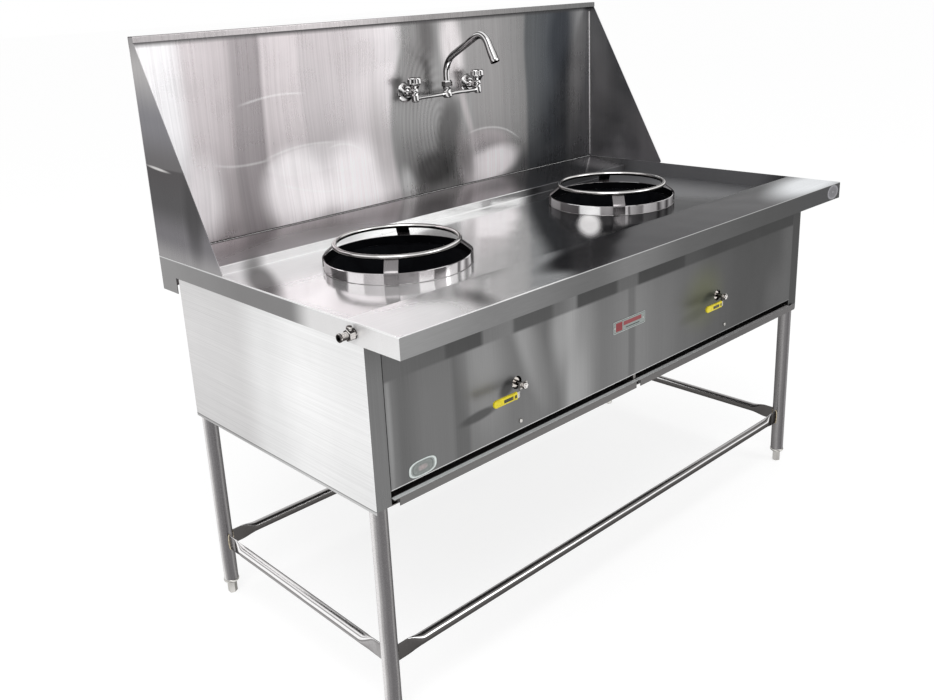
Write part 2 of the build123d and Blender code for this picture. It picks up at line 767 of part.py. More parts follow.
# ================================================================ tap
with BuildPart() as tap_bridge:
    for x in (tap_x_left, tap_x_right):
        with Locations((x, tap_y, tap_bottom)):
            Cylinder(tap_valve_r, tap_valve_top - tap_bottom, align=(Align.CENTER, Align.CENTER, Align.MIN))
        with Locations((x, tap_y, shank_z)):
            Cylinder(shank_r, 26, rotation=(-90, 0, 0), align=(Align.CENTER, Align.CENTER, Align.MIN))
        with Locations((x, back - 14, shank_z)):
            Cylinder(wall_r, 14 + locknut_height + 0.5, rotation=(-90, 0, 0),
                     align=(Align.CENTER, Align.CENTER, Align.MIN))
            Cylinder(tail_r, 14 + tail_reach, rotation=(-90, 0, 0),
                     align=(Align.CENTER, Align.CENTER, Align.MIN))
    with Locations((tap_x, tap_y, bridge_z)):
        Cylinder(bridge_r, tap_centres, rotation=(0, 90, 0))
    with Locations((tap_x, tap_y, tap_bottom)):
        Cylinder(12, nut_bottom - tap_bottom, align=(Align.CENTER, Align.CENTER, Align.MIN))
    fillet(tap_bridge.edges().group_by(Axis.Z)[0], radius=2)
    # sockets for the spout and for the spindles under the two handles
    with Locations((tap_x, tap_y, nut_bottom)):
        Cylinder(spout_r + spout_play, 20, mode=Mode.SUBTRACT)
    with Locations(*[(x, tap_y, tap_valve_top) for x in (tap_x_left, tap_x_right)]):
        Cylinder(5.05, 32, mode=Mode.SUBTRACT)
    # open water ways behind the wall
    with Locations(*[(x, back + tail_reach, shank_z) for x in (tap_x_left, tap_x_right)]):
        Cylinder(6.5, 80, rotation=(90, 0, 0), mode=Mode.SUBTRACT)
tap_bridge.part.label = "tap_bridge"
export_step(tap_bridge.part, "parts/tap_bridge.step")

with BuildPart() as tap_flanges:
    for x in (tap_x_left, tap_x_right):
        with BuildSketch(Plane(origin=(x, 0, shank_z), x_dir=(1, 0, 0), z_dir=(0, 0, 1))) as profile:
            with BuildLine():
                Polyline(
                    (wall_r + 0.1, back - sheet),
                    (flange_r, back - sheet),
                    (flange_r, back - sheet - 2),
                    (flange_r - 8, back - sheet - 9),
                    (wall_r + 0.1, back - sheet - 9),
                    close=True,
                )
            make_face()
            fillet(profile.vertices().group_by(Axis.Y)[-2], radius=1)
        revolve(axis=Axis((x, 0, shank_z), (0, 1, 0)))
tap_flanges.part.label = "tap_flanges"
export_step(tap_flanges.part, "parts/tap_flanges.step")

with BuildPart() as tap_locknuts:
    with BuildSketch(Plane.XZ.offset(-back)):
        with Locations(*[(x, shank_z) for x in (tap_x_left, tap_x_right)]):
            RegularPolygon(16, 6, major_radius=False)
            Circle(wall_r + 0.1, mode=Mode.SUBTRACT)
    extrude(amount=-locknut_height)
tap_locknuts.part.label = "tap_locknuts"
export_step(tap_locknuts.part, "parts/tap_locknuts.step")

for name, x in (("left", tap_x_left), ("right", tap_x_right)):
    with BuildPart() as tap_handle:
        # skirt, fluted head and the spindle that turns inside the valve
        with BuildSketch(Plane(origin=(x, tap_y, tap_valve_top + 0.6), x_dir=(1, 0, 0), z_dir=(0, -1, 0))):
            with BuildLine():
                Polyline(
                    (0, 0),
                    (10, 0),
                    (13, 7),
                    (handle_r, 11),
                    (handle_r, handle_height),
                    (0, handle_height),
                    close=True,
                )
            make_face()
        revolve(axis=Axis((x, tap_y, 0), (0, 0, 1)))
        fillet(tap_handle.edges().group_by(Axis.Z)[-1], radius=2.5)
        with Locations((x, tap_y, tap_valve_top + 8 + handle_height / 2)):
            with PolarLocations(handle_r + 3, 4, start_angle=45):
                Cylinder(9, handle_height, mode=Mode.SUBTRACT)
        with Locations((x, tap_y, tap_valve_top - 14)):
            Cylinder(5, 20, align=(Align.CENTER, Align.CENTER, Align.MIN))
    tap_handle.part.label = f"tap_handle_{name}"
    export_step(tap_handle.part, f"parts/tap_handle_{name}.step")

with BuildPart() as spout_nut:
    with BuildSketch(Plane.XY.offset(nut_bottom)):
        with Locations((tap_x, tap_y)):
            RegularPolygon(12, 6, major_radius=False)
            Circle(spout_r + spout_play, mode=Mode.SUBTRACT)
    extrude(amount=nut_top - nut_bottom)
    chamfer(spout_nut.edges().filter_by(GeomType.LINE).group_by(Axis.Z)[-1], length=1.5)
spout_nut.part.label = "spout_nut"
export_step(spout_nut.part, "parts/spout_nut.step")

# the spout rises, leans forward, turns over and widens to its outlet
spout_knee = (tap_x, tap_y, nut_top + 47.5)
spout_crest = (tap_x, back - 172.5, nut_top + 118)
spout_tip = (tap_x, back - 208, nut_top + 46.5)
with BuildPart() as spout:
    with BuildLine() as route:
        FilletPolyline((tap_x, tap_y, nut_bottom - 9), spout_knee, spout_crest, spout_tip, radius=[26, 30])
    with BuildSketch(route.line ^ 0):
        Circle(spout_r)
    with BuildSketch(route.line ^ 0.62):
        Circle(spout_r)
    with BuildSketch(route.line ^ 1):
        Circle(outlet_r)
    sweep(multisection=True)
    outlet = Plane(route.line ^ 1)
    with BuildSketch(outlet):
        Circle(outlet_r - 3)
    extrude(amount=-12, mode=Mode.SUBTRACT)
spout.part.label = "spout"
export_step(spout.part, "parts/spout.step")

# ================================================================ trim
with BuildPart() as nameplate:
    with BuildSketch(Plane.XZ.offset(-body_front)):
        with Locations(plate_centre):
            RectangleRounded(plate_size[0], plate_size[1], 1.5)
    extrude(amount=plate_size[2])
nameplate.part.label = "nameplate"
export_step(nameplate.part, "parts/nameplate.step")

with BuildPart() as panel_screws:
    for x in screw_x:
        with Locations((x, body_front, screw_z)):
            Cylinder(4, 2.4, rotation=(90, 0, 0), align=(Align.CENTER, Align.CENTER, Align.MIN))
    fillet(panel_screws.edges().group_by(Axis.Y)[0], radius=1.2)
panel_screws.part.label = "panel_screws"
export_step(panel_screws.part, "parts/panel_screws.step")
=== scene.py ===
"""Looks of a free-standing two-burner wok range in stainless steel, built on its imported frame."""

import math

import bmesh
import bpy
import numpy as np
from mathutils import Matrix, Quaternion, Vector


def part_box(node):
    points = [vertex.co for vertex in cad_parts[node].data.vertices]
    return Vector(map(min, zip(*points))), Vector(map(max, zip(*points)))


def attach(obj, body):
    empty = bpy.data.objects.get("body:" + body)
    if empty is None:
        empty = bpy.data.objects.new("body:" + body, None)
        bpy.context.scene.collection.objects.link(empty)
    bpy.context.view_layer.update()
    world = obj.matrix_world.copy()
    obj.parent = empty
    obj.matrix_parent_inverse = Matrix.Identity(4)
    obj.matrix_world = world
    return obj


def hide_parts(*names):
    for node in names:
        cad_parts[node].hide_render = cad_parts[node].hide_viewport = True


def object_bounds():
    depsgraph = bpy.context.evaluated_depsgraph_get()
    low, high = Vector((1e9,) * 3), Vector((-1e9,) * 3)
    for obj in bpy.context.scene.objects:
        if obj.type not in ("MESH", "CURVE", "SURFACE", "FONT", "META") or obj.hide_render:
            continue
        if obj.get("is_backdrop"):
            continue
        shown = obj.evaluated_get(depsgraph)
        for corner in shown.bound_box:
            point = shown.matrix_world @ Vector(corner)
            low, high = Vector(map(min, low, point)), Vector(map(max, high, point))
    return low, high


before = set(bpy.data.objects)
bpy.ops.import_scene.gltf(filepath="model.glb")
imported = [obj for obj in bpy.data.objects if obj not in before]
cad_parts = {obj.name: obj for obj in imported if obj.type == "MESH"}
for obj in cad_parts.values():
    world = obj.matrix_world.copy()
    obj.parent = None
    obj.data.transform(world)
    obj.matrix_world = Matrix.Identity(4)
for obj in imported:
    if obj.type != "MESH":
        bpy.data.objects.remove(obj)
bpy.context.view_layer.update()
mm = 0.001

# ---------------------------------------------------------------- floor, lamps and camera
# A plain white studio floor under even light, with one wide soft lamp high on the left and a
# weak one from the front. The range is seen from its front left corner, a little above it.


def linear(hex_colour, alpha=1.0):
    """Turns an sRGB hex colour into the linear colour that a shader takes."""
    parts = np.array([int(hex_colour[i : i + 2], 16) for i in (1, 3, 5)]) / 255
    light = np.where(parts <= 0.04045, parts / 12.92, ((parts + 0.055) / 1.055) ** 2.4)
    return (*light.tolist(), alpha)


def add(tree, kind, settings=None, links=None):
    """Adds one node. A setting is a property or a socket's value. A link brings a socket another
    node's output, its first one if only the node is given, or a value where there is no node."""
    node = tree.nodes.new("ShaderNode" + kind)
    for key, value in (settings or {}).items():
        if isinstance(key, str) and hasattr(node, key):
            setattr(node, key, value)
        else:
            node.inputs[key].default_value = value
    for key, source in (links or {}).items():
        if isinstance(source, bpy.types.Node):
            source = source.outputs[0]
        if isinstance(source, bpy.types.NodeSocket):
            tree.links.new(source, node.inputs[key])
        else:
            node.inputs[key].default_value = source
    return node


def blank(name):
    """A new material with an empty node tree."""
    material = bpy.data.materials.new(name)
    material.use_nodes = True
    material.node_tree.nodes.clear()
    return material, material.node_tree


def seen_as_it_is(tree):
    """1 for rays from the camera, off a gloss or through glass, and 0 for those that light the range."""
    ray = add(tree, "LightPath")
    direct = {0: ray.outputs["Is Camera Ray"], 1: ray.outputs["Is Glossy Ray"]}
    direct = add(tree, "Math", {"operation": "MAXIMUM"}, direct)
    return add(tree, "Math", {"operation": "MAXIMUM"}, {0: direct, 1: ray.outputs["Is Transmission Ray"]})


# a glow that the camera, glosses and glass see turns the floor white, and its shadow stays
floor_paint, tree = blank("white_studio_floor")
paint = add(tree, "BsdfDiffuse", {"Color": linear("#f7f7f7")})
glow = add(tree, "Emission", {"Color": linear("#ffffff"), "Strength": 1.2})
share = add(tree, "Math", {"operation": "MULTIPLY", 1: 0.6}, {0: seen_as_it_is(tree)})
shade = add(tree, "MixShader", {}, {0: share, 1: paint, 2: glow})
add(tree, "OutputMaterial", links={"Surface": shade})
half_floor = 60
floor_points = [(x * half_floor, y * half_floor, 0) for x, y in ((-1, -1), (1, -1), (1, 1), (-1, 1))]
floor_mesh = bpy.data.meshes.new("studio_floor")
floor_mesh.from_pydata(floor_points, [], [(0, 1, 2, 3)])
floor_mesh.materials.append(floor_paint)
studio_floor = bpy.data.objects.new("studio_floor", floor_mesh)
bpy.context.scene.collection.objects.link(studio_floor)
studio_floor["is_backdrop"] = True

world = bpy.data.worlds.new("studio")
bpy.context.scene.world = world
world.use_nodes = True
tree = world.node_tree
tree.nodes.clear()
level = add(tree, "MapRange", {3: 0.72, 4: 1.0}, {0: seen_as_it_is(tree)})
sky = add(tree, "Background", {"Color": linear("#ffffff")}, {"Strength": level})
add(tree, "OutputWorld", links={"Surface": sky})

for name, place, aim, size, power in (
    ("wide_lamp", (-2.2, -1.6, 3.6), (0.1, 0.1, 0.6), 2.6, 62),
    ("front_lamp", (1.6, -3.4, 2.4), (0.0, 0.0, 0.6), 2.0, 26),
):
    lamp = bpy.data.lights.new(name, "AREA")
    lamp.shape = "SQUARE"
    lamp.size = size
    lamp.energy = power
    holder = bpy.data.objects.new(name, lamp)
    bpy.context.scene.collection.objects.link(holder)
    away = np.array(aim) - np.array(place)
    tilt = math.acos(-away[2] / np.linalg.norm(away))
    heading = math.atan2(away[1], away[0]) - math.pi / 2
    holder.location = place
    holder.rotation_mode = "XYZ"
    holder.rotation_euler = (tilt, 0, heading)

lens = bpy.data.cameras.new("camera")
lens.sensor_width = 36
lens.lens = 36.786
lens.shift_x = 0.0324
lens.shift_y = -0.0587
lens.clip_start = 0.05
lens.clip_end = 200
camera = bpy.data.objects.new("camera", lens)
camera.location = (-1.5272, -1.4462, 1.2639)
camera.rotation_mode = "QUATERNION"
camera.rotation_quaternion = Quaternion((0.746545, 0.558196, -0.193398, -0.306079))
bpy.context.scene.collection.objects.link(camera)
bpy.context.scene.camera = camera
bpy.context.scene.view_settings.view_transform = "Standard"

# ---------------------------------------------------------------- legs
# Four stainless tubes, 31.8 mm across with 1.5 mm walls, that run up inside the body's corners.
# The drawn tube is bright polished, so it shows narrow dark and light streaks along its length.


def cells(rows, columns, loop_rows=False, loop_columns=True):
    """Quads of a grid of points: point (r, c) joins (r, c + 1), (r + 1, c + 1) and (r + 1, c)."""
    r = np.arange(rows if loop_rows else rows - 1)[:, None]
    c = np.arange(columns if loop_columns else columns - 1)[None, :]
    above, beside = (r + 1) % rows, (c + 1) % columns
    corners = (r * columns + c, r * columns + beside, above * columns + beside, above * columns + c)
    return np.stack(corners, -1).reshape(-1, 4)


def eased(corners, reach, steps=4):
    """Rounds a profile's inner corners: each becomes a parabola that starts `reach` before the
    corner and ends `reach` after it, p(t) = (1-t)²·before + 2t(1-t)·corner + t²·after."""
    corners = np.array(corners, float)
    middle = corners[1:-1]
    to_last, to_next = corners[:-2] - middle, corners[2:] - middle
    far_last = np.linalg.norm(to_last, axis=1, keepdims=True)
    far_next = np.linalg.norm(to_next, axis=1, keepdims=True)
    before = middle + to_last / far_last * np.minimum(reach, far_last * 0.45)
    after = middle + to_next / far_next * np.minimum(reach, far_next * 0.45)
    t = np.linspace(0, 1, steps)[None, :, None]
    curve = (1 - t) ** 2 * before[:, None] + 2 * t * (1 - t) * middle[:, None] + t**2 * after[:, None]
    return np.vstack([corners[:1], curve.reshape(-1, corners.shape[1]), corners[-1:]])


def turned(profile, centre, axis="Z", sides=96, shape=None):
    """Turned surface: point = centre + along·axis + r·(cos a·u + sin a·v) for each profile point
    (along, r). shape(a, along, r) may give another radius, for hexagons, flutes and threads."""
    profile = np.array(profile, float)
    u, v, w = {
        "Z": ((1, 0, 0), (0, 1, 0), (0, 0, 1)),
        "Y": ((0, 0, 1), (1, 0, 0), (0, 1, 0)),
        "X": ((0, 1, 0), (0, 0, 1), (1, 0, 0)),
    }[axis]
    a = np.arange(sides)[None, :] * math.tau / sides
    along, r = profile[:, :1], profile[:, 1:]
    r = r * np.ones_like(a) if shape is None else shape(a, along, r)
    ring = (r * np.cos(a))[..., None] * np.array(u) + (r * np.sin(a))[..., None] * np.array(v)
    points = np.array(centre) + along[..., None] * np.array(w) + ring
    return points.reshape(-1, 3), cells(len(profile), sides)


def carried(path, section, side, loop=False):
    """A section carried along a path in one plane: point = path(t) + u·side + v·(tangent × side).
    An open run's ends are closed by drawing the section in to the path."""
    path, side = np.array(path, float), np.array(side, float)
    if loop:
        tangent = np.roll(path, -1, 0) - np.roll(path, 1, 0)
    else:
        tangent = np.gradient(path, axis=0)
    tangent /= np.linalg.norm(tangent, axis=1, keepdims=True)
    up = np.cross(tangent, side)
    section = np.broadcast_to(section, (len(path), *np.shape(section)[-2:]))
    points = path[:, None] + section[..., :1] * side + section[..., 1:] * up[:, None]
    if not loop:
        closing = np.broadcast_to(path[[0, -1], None], (2, *points.shape[1:]))
        points = np.concatenate([closing[:1], points, closing[1:]])
    return points.reshape(-1, 3), cells(points.shape[0], points.shape[1], loop_rows=loop)


def piece(name, surfaces, material, body, stands_for=(), sharp=32):
    """Makes one object of several surfaces, merges poles and seams, turns the faces outwards,
    smooths it between sharp edges, joins it to the body, and hides the CAD nodes it stands for."""
    points, faces, start = [], [], 0
    for some_points, some_faces in surfaces:
        points.append(some_points)
        faces.append(some_faces + start)
        start += len(some_points)
    mesh = bpy.data.meshes.new(name)
    mesh.from_pydata(np.concatenate(points), [], np.concatenate(faces))
    work = bmesh.new()
    work.from_mesh(mesh)
    bmesh.ops.remove_doubles(work, verts=work.verts, dist=2e-6)
    bmesh.ops.recalc_face_normals(work, faces=work.faces)
    work.to_mesh(mesh)
    work.free()
    mesh.shade_smooth()
    mesh.set_sharp_from_angle(angle=math.radians(sharp))
    mesh.materials.append(material)
    made = bpy.data.objects.new(name, mesh)
    bpy.context.scene.collection.objects.link(made)
    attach(made, body)
    if stands_for:
        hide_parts(*stands_for)
    return made


def set_stops(ramp, stops):
    """Gives a colour ramp its stops: pairs of place and hex colour."""
    line = ramp.color_ramp.elements
    while len(line) < len(stops):
        line.new(0.5)
    for element, (place, colour) in zip(line, stops):
        element.position = place
        element.color = linear(colour)


def bright_steel(name, stops, lean, roughness, streak=0.1, speckle=0.03, metal=1.0):
    """Polished stainless or plated steel on round pieces, its colour painted reflection. Its tone goes by
    which way the surface faces, along the direction `lean`, in painted soft bands that stand for what a
    bright tube mirrors from a room; a slow noise breaks them up a little, and a fine one speckles and
    roughens the skin. A metal share below 1 lets the lamps reach it where it would only mirror its
    dark neighbours."""
    material, tree = blank(name)
    place = add(tree, "TexCoord").outputs["Object"]
    normal = add(tree, "NewGeometry").outputs["Normal"]
    facing = add(tree, "VectorMath", {"operation": "DOT_PRODUCT", 1: lean}, {0: normal}).outputs["Value"]
    cloud = add(tree, "TexNoise", {"Scale": 9.0, "Detail": 2.0}, {"Vector": place})
    drift = add(tree, "MapRange", {1: 0.3, 2: 0.7, 3: -streak, 4: streak}, {0: cloud})
    turn = add(tree, "Math", {"operation": "ADD"}, {0: facing, 1: drift})
    spread = add(tree, "MapRange", {1: -1.0, 2: 1.0}, {0: turn})
    tones = add(tree, "ValToRGB", links={0: spread})
    tones.color_ramp.interpolation = "EASE"
    set_stops(tones, stops)
    rub = add(tree, "TexNoise", {"Scale": 420.0, "Detail": 2.0}, {"Vector": place})
    fleck = add(tree, "MapRange", {1: 0.3, 2: 0.7, 3: 1 - speckle, 4: 1 + speckle}, {0: rub})
    skin = add(tree, "VectorMath", {"operation": "MULTIPLY"}, {0: tones, 1: fleck})
    # dark bands stay dark where they are seen at a slant
    slant = add(tree, "VectorMath", {"operation": "MULTIPLY_ADD", 1: (0.6,) * 3, 2: (0.4,) * 3}, {0: skin})
    gloss = add(tree, "MapRange", {1: 0.3, 2: 0.7, 3: roughness * 0.8, 4: roughness * 1.25}, {0: rub})
    bump = add(tree, "Bump", {"Strength": 0.06, "Distance": 0.0002}, {"Height": rub})
    links = {"Base Color": skin, "Specular Tint": slant, "Roughness": gloss, "Normal": bump}
    steel = add(tree, "BsdfPrincipled", {"Metallic": metal}, links)
    add(tree, "OutputMaterial", links={"Surface": steel})
    return material


# drawn and polished tube, its colour painted reflection: light edges and a wide darker middle,
# speckled by handling; the legs away from the window get a darker painted shade
leg_painted_light = {
    "left": [(0.0, "#b4b2b2"), (0.10, "#ebe9e9"), (0.22, "#dddbdb"), (0.31, "#a4a2a2"), (0.42, "#7d7b7c"),
             (0.58, "#6a6869"), (0.74, "#6f6d6e"), (0.80, "#939191"), (0.87, "#757373"), (1.0, "#5f5d5d")],
    "right": [(0.0, "#9a9898"), (0.10, "#6e6c6c"), (0.30, "#8e8c8c"), (0.45, "#6f6d6e"), (0.60, "#626061"),
              (0.74, "#8d8b8c"), (0.84, "#949292"), (1.0, "#716f6f")],
}
tube_lean = (0.62, -0.50, 0.60)
tubes_lit_and_shaded = {
    side: bright_steel(f"stainless_tube_painted_light_{side}", stops, tube_lean, 0.24, streak=0.04, speckle=0.1)
    for side, stops in leg_painted_light.items()
}

leg_r, tube_wall = 15.9 * mm, 1.5 * mm
corners = [f"{end}_{side}" for end in ("front", "rear") for side in ("left", "right")]
leg_middle = {}
for corner in corners:
    low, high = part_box(f"leg_{corner}")
    x, y = (low.x + high.x) / 2, (low.y + high.y) / 2
    leg_middle[corner] = (x, y)
    inner = leg_r - tube_wall
    wall = [(low.z, inner), (low.z, leg_r), (high.z, leg_r), (high.z, inner), (low.z, inner)]
    tube = [turned(wall, (x, y, 0), sides=64)]
    material = tubes_lit_and_shaded[corner.split("_")[1]]
    piece(f"leg_tube_{corner}", tube, material, "range", (f"leg_{corner}",))

# ---------------------------------------------------------------- feet
# A turned socket closes each leg, slightly fatter than the tube. A hexagon-headed screw stands
# in it, 18 mm across its flats, and levels the range on the floor.


def hexagonal(a, along, r):
    """Radius of a hexagon whose flats lie r from the axis: r / cos of the angle to the nearest flat."""
    return r / np.cos((a + math.pi / 6) % (math.pi / 3) - math.pi / 6)


def in_mm(outline, ease=0):
    """An outline written in millimetres, in metres, with its inner corners eased over `ease` mm."""
    outline = np.array(outline) * mm
    return eased(outline, ease * mm) if ease else outline


# painted reflection bands, set by which way the surface faces
turned_steel = bright_steel(
    "turned_zinc_plated_steel",
    [(0.0, "#6e6d6b"), (0.25, "#d8d6d2"), (0.45, "#7d7b78"), (0.62, "#eceae6"), (0.85, "#8c8a86"),
     (1.0, "#b5b3af")],
    lean=tube_lean,
    roughness=0.3,
)
# outlines are pairs of height above the floor and radius
socket = [(28, 8.05), (28, 13.2), (29.2, 15.6), (31.5, 17.0), (34.6, 17.0), (36, 16.2), (36, 14.3),
          (60, 14.3), (60, 8.05)]
screw_head = [(0, 0), (0, 8.2), (1.1, 9), (26.9, 9), (27.7, 8.5), (27.7, 0)]
screw = [(27.7, 0), (27.7, 7.9), (56.9, 7.9), (57.7, 7.2), (57.7, 0)]
sockets = []
for corner in corners:
    spot = (*leg_middle[corner], 0)
    sockets.append(turned(np.vstack([in_mm(socket, 1.0), in_mm(socket[:1])]), spot, sides=64))
    turnings = [turned(in_mm(screw_head), spot, shape=hexagonal), turned(in_mm(screw), spot, sides=48)]
    foot = f"foot_{corner}"
    piece(f"foot_screw_{corner}", turnings, turned_steel, foot, (foot,))
piece("leg_sockets", sockets, turned_steel, "range", ("foot_sockets",))

# ---------------------------------------------------------------- rails
# Four 22 mm stainless tubes join the legs low down. Each end is pinched flat and upright, and
# butt-welded to its leg with a small rippled bead that the heat has left straw coloured.


def round_section(fat, sides):
    """Round section for a carried run, a ring for each radius in `fat`: fat·(cos a, sin a)."""
    a = np.linspace(0, math.tau, sides, endpoint=False)
    return np.stack([np.cos(a) * fat[:, None], np.sin(a) * fat[:, None]], -1)


rail_low, rail_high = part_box("rail_front")
rail_z = (rail_low.z + rail_high.z) / 2
rail_r = 11
# straw heat tint, with painted reflection bands set by which way the bead faces
weld_bead = bright_steel(
    "tig_weld_bead",
    [(0.0, "#4d463c"), (0.4, "#a89878"), (0.7, "#d9d0bd"), (1.0, "#8a7c66")],
    lean=(0.3, -0.5, 0.8),
    roughness=0.42,
)
# painted reflection: light from below the top runs along the rails as one white line between two
# dark bands, on a lit copy for the left rail and a shaded copy for the rest
rail_painted_light = {
    "shaded": [(0.0, "#4c4a49"), (0.40, "#5c5a59"), (0.45, "#e4e2e2"), (0.52, "#ffffff"), (0.57, "#7c7a79"),
               (0.72, "#757372"), (0.92, "#b9b7b7"), (1.0, "#a3a1a1")],
    "lit": [(0.0, "#8f8d8d"), (0.17, "#a9a7a7"), (0.29, "#7a7878"), (0.37, "#f4f2f2"), (0.51, "#ffffff"),
            (0.60, "#8d8b8b"), (0.68, "#efeded"), (0.88, "#f5f3f3"), (1.0, "#8a8888")],
}
rail_lean = (0.616, 0.616, 0.788)
rail_tubes = {
    light: bright_steel(f"polished_stainless_{light}_rail", stops, rail_lean, 0.2, streak=0.03, speckle=0.08)
    for light, stops in rail_painted_light.items()
}
# each end is pinched to an upright slot, in half sizes, for 38 mm, and opens out over the next 40
pinched_tall, pinched_wide = 17.3, 1.6
pinched_for, opening = 38 * mm, 40 * mm
# its rings of points start just inside the leg's wall, and are close together for 90 mm
end_gap, near_end = 15.6 * mm, 90 * mm
bead_gap, bead_tall, bead_wide = 16.0 * mm, 18.2, 2.6
ring = np.linspace(0, math.tau, 48, endpoint=False)
beads = []
for name, first, last in (
    ("front", "front_left", "front_right"),
    ("rear", "rear_left", "rear_right"),
    ("left", "front_left", "rear_left"),
    ("right", "front_right", "rear_right"),
):
    start = np.array((*leg_middle[first], rail_z))
    end = np.array((*leg_middle[last], rail_z))
    span = np.linalg.norm(end - start)
    along = (end - start) / span
    side = np.cross(along, (0, 0, 1))
    # the distance from the nearer leg decides how flat the tube is
    last_stretch = span - np.linspace(near_end, end_gap, 40)
    t = np.concatenate([np.linspace(end_gap, near_end, 40), [span / 2], last_stretch])
    ease = np.clip((np.minimum(t, span - t) - pinched_for) / opening, 0, 1)
    ease = ease * ease * (3 - 2 * ease)
    height = pinched_tall * mm + (rail_r - pinched_tall) * mm * ease
    width = pinched_wide * mm + (rail_r - pinched_wide) * mm * ease
    power = 0.45 + 0.55 * ease
    across = np.sign(np.sin(ring)) * np.abs(np.sin(ring)) ** power[:, None] * width[:, None]
    tall = np.cos(ring) * height[:, None]
    tube = [carried(start + t[:, None] * along, np.stack([across, -tall], -1), side)]
    material = rail_tubes["lit" if name == "left" else "shaded"]
    piece(f"rail_tube_{name}", tube, material, "range", (f"rail_{name}",))
    for place in (start + along * bead_gap, end - along * bead_gap):
        rise = np.cos(ring)[:, None] * bead_tall * mm * np.array((0, 0, 1))
        loop = place + rise + np.sin(ring)[:, None] * bead_wide * mm * side
        fat = (1.5 + 0.35 * np.sin(ring * 11 + place[0] * 90)) * mm
        beads.append(carried(loop, round_section(fat, 12), along, loop=True))
piece("rail_weld_beads", beads, weld_bead, "range", ())

# ---------------------------------------------------------------- body
# A box of 1.5 mm brushed stainless sheet hung under the top: folded corner posts, plain side
# panels with a narrow folded foot, and front and back panels set between the posts.


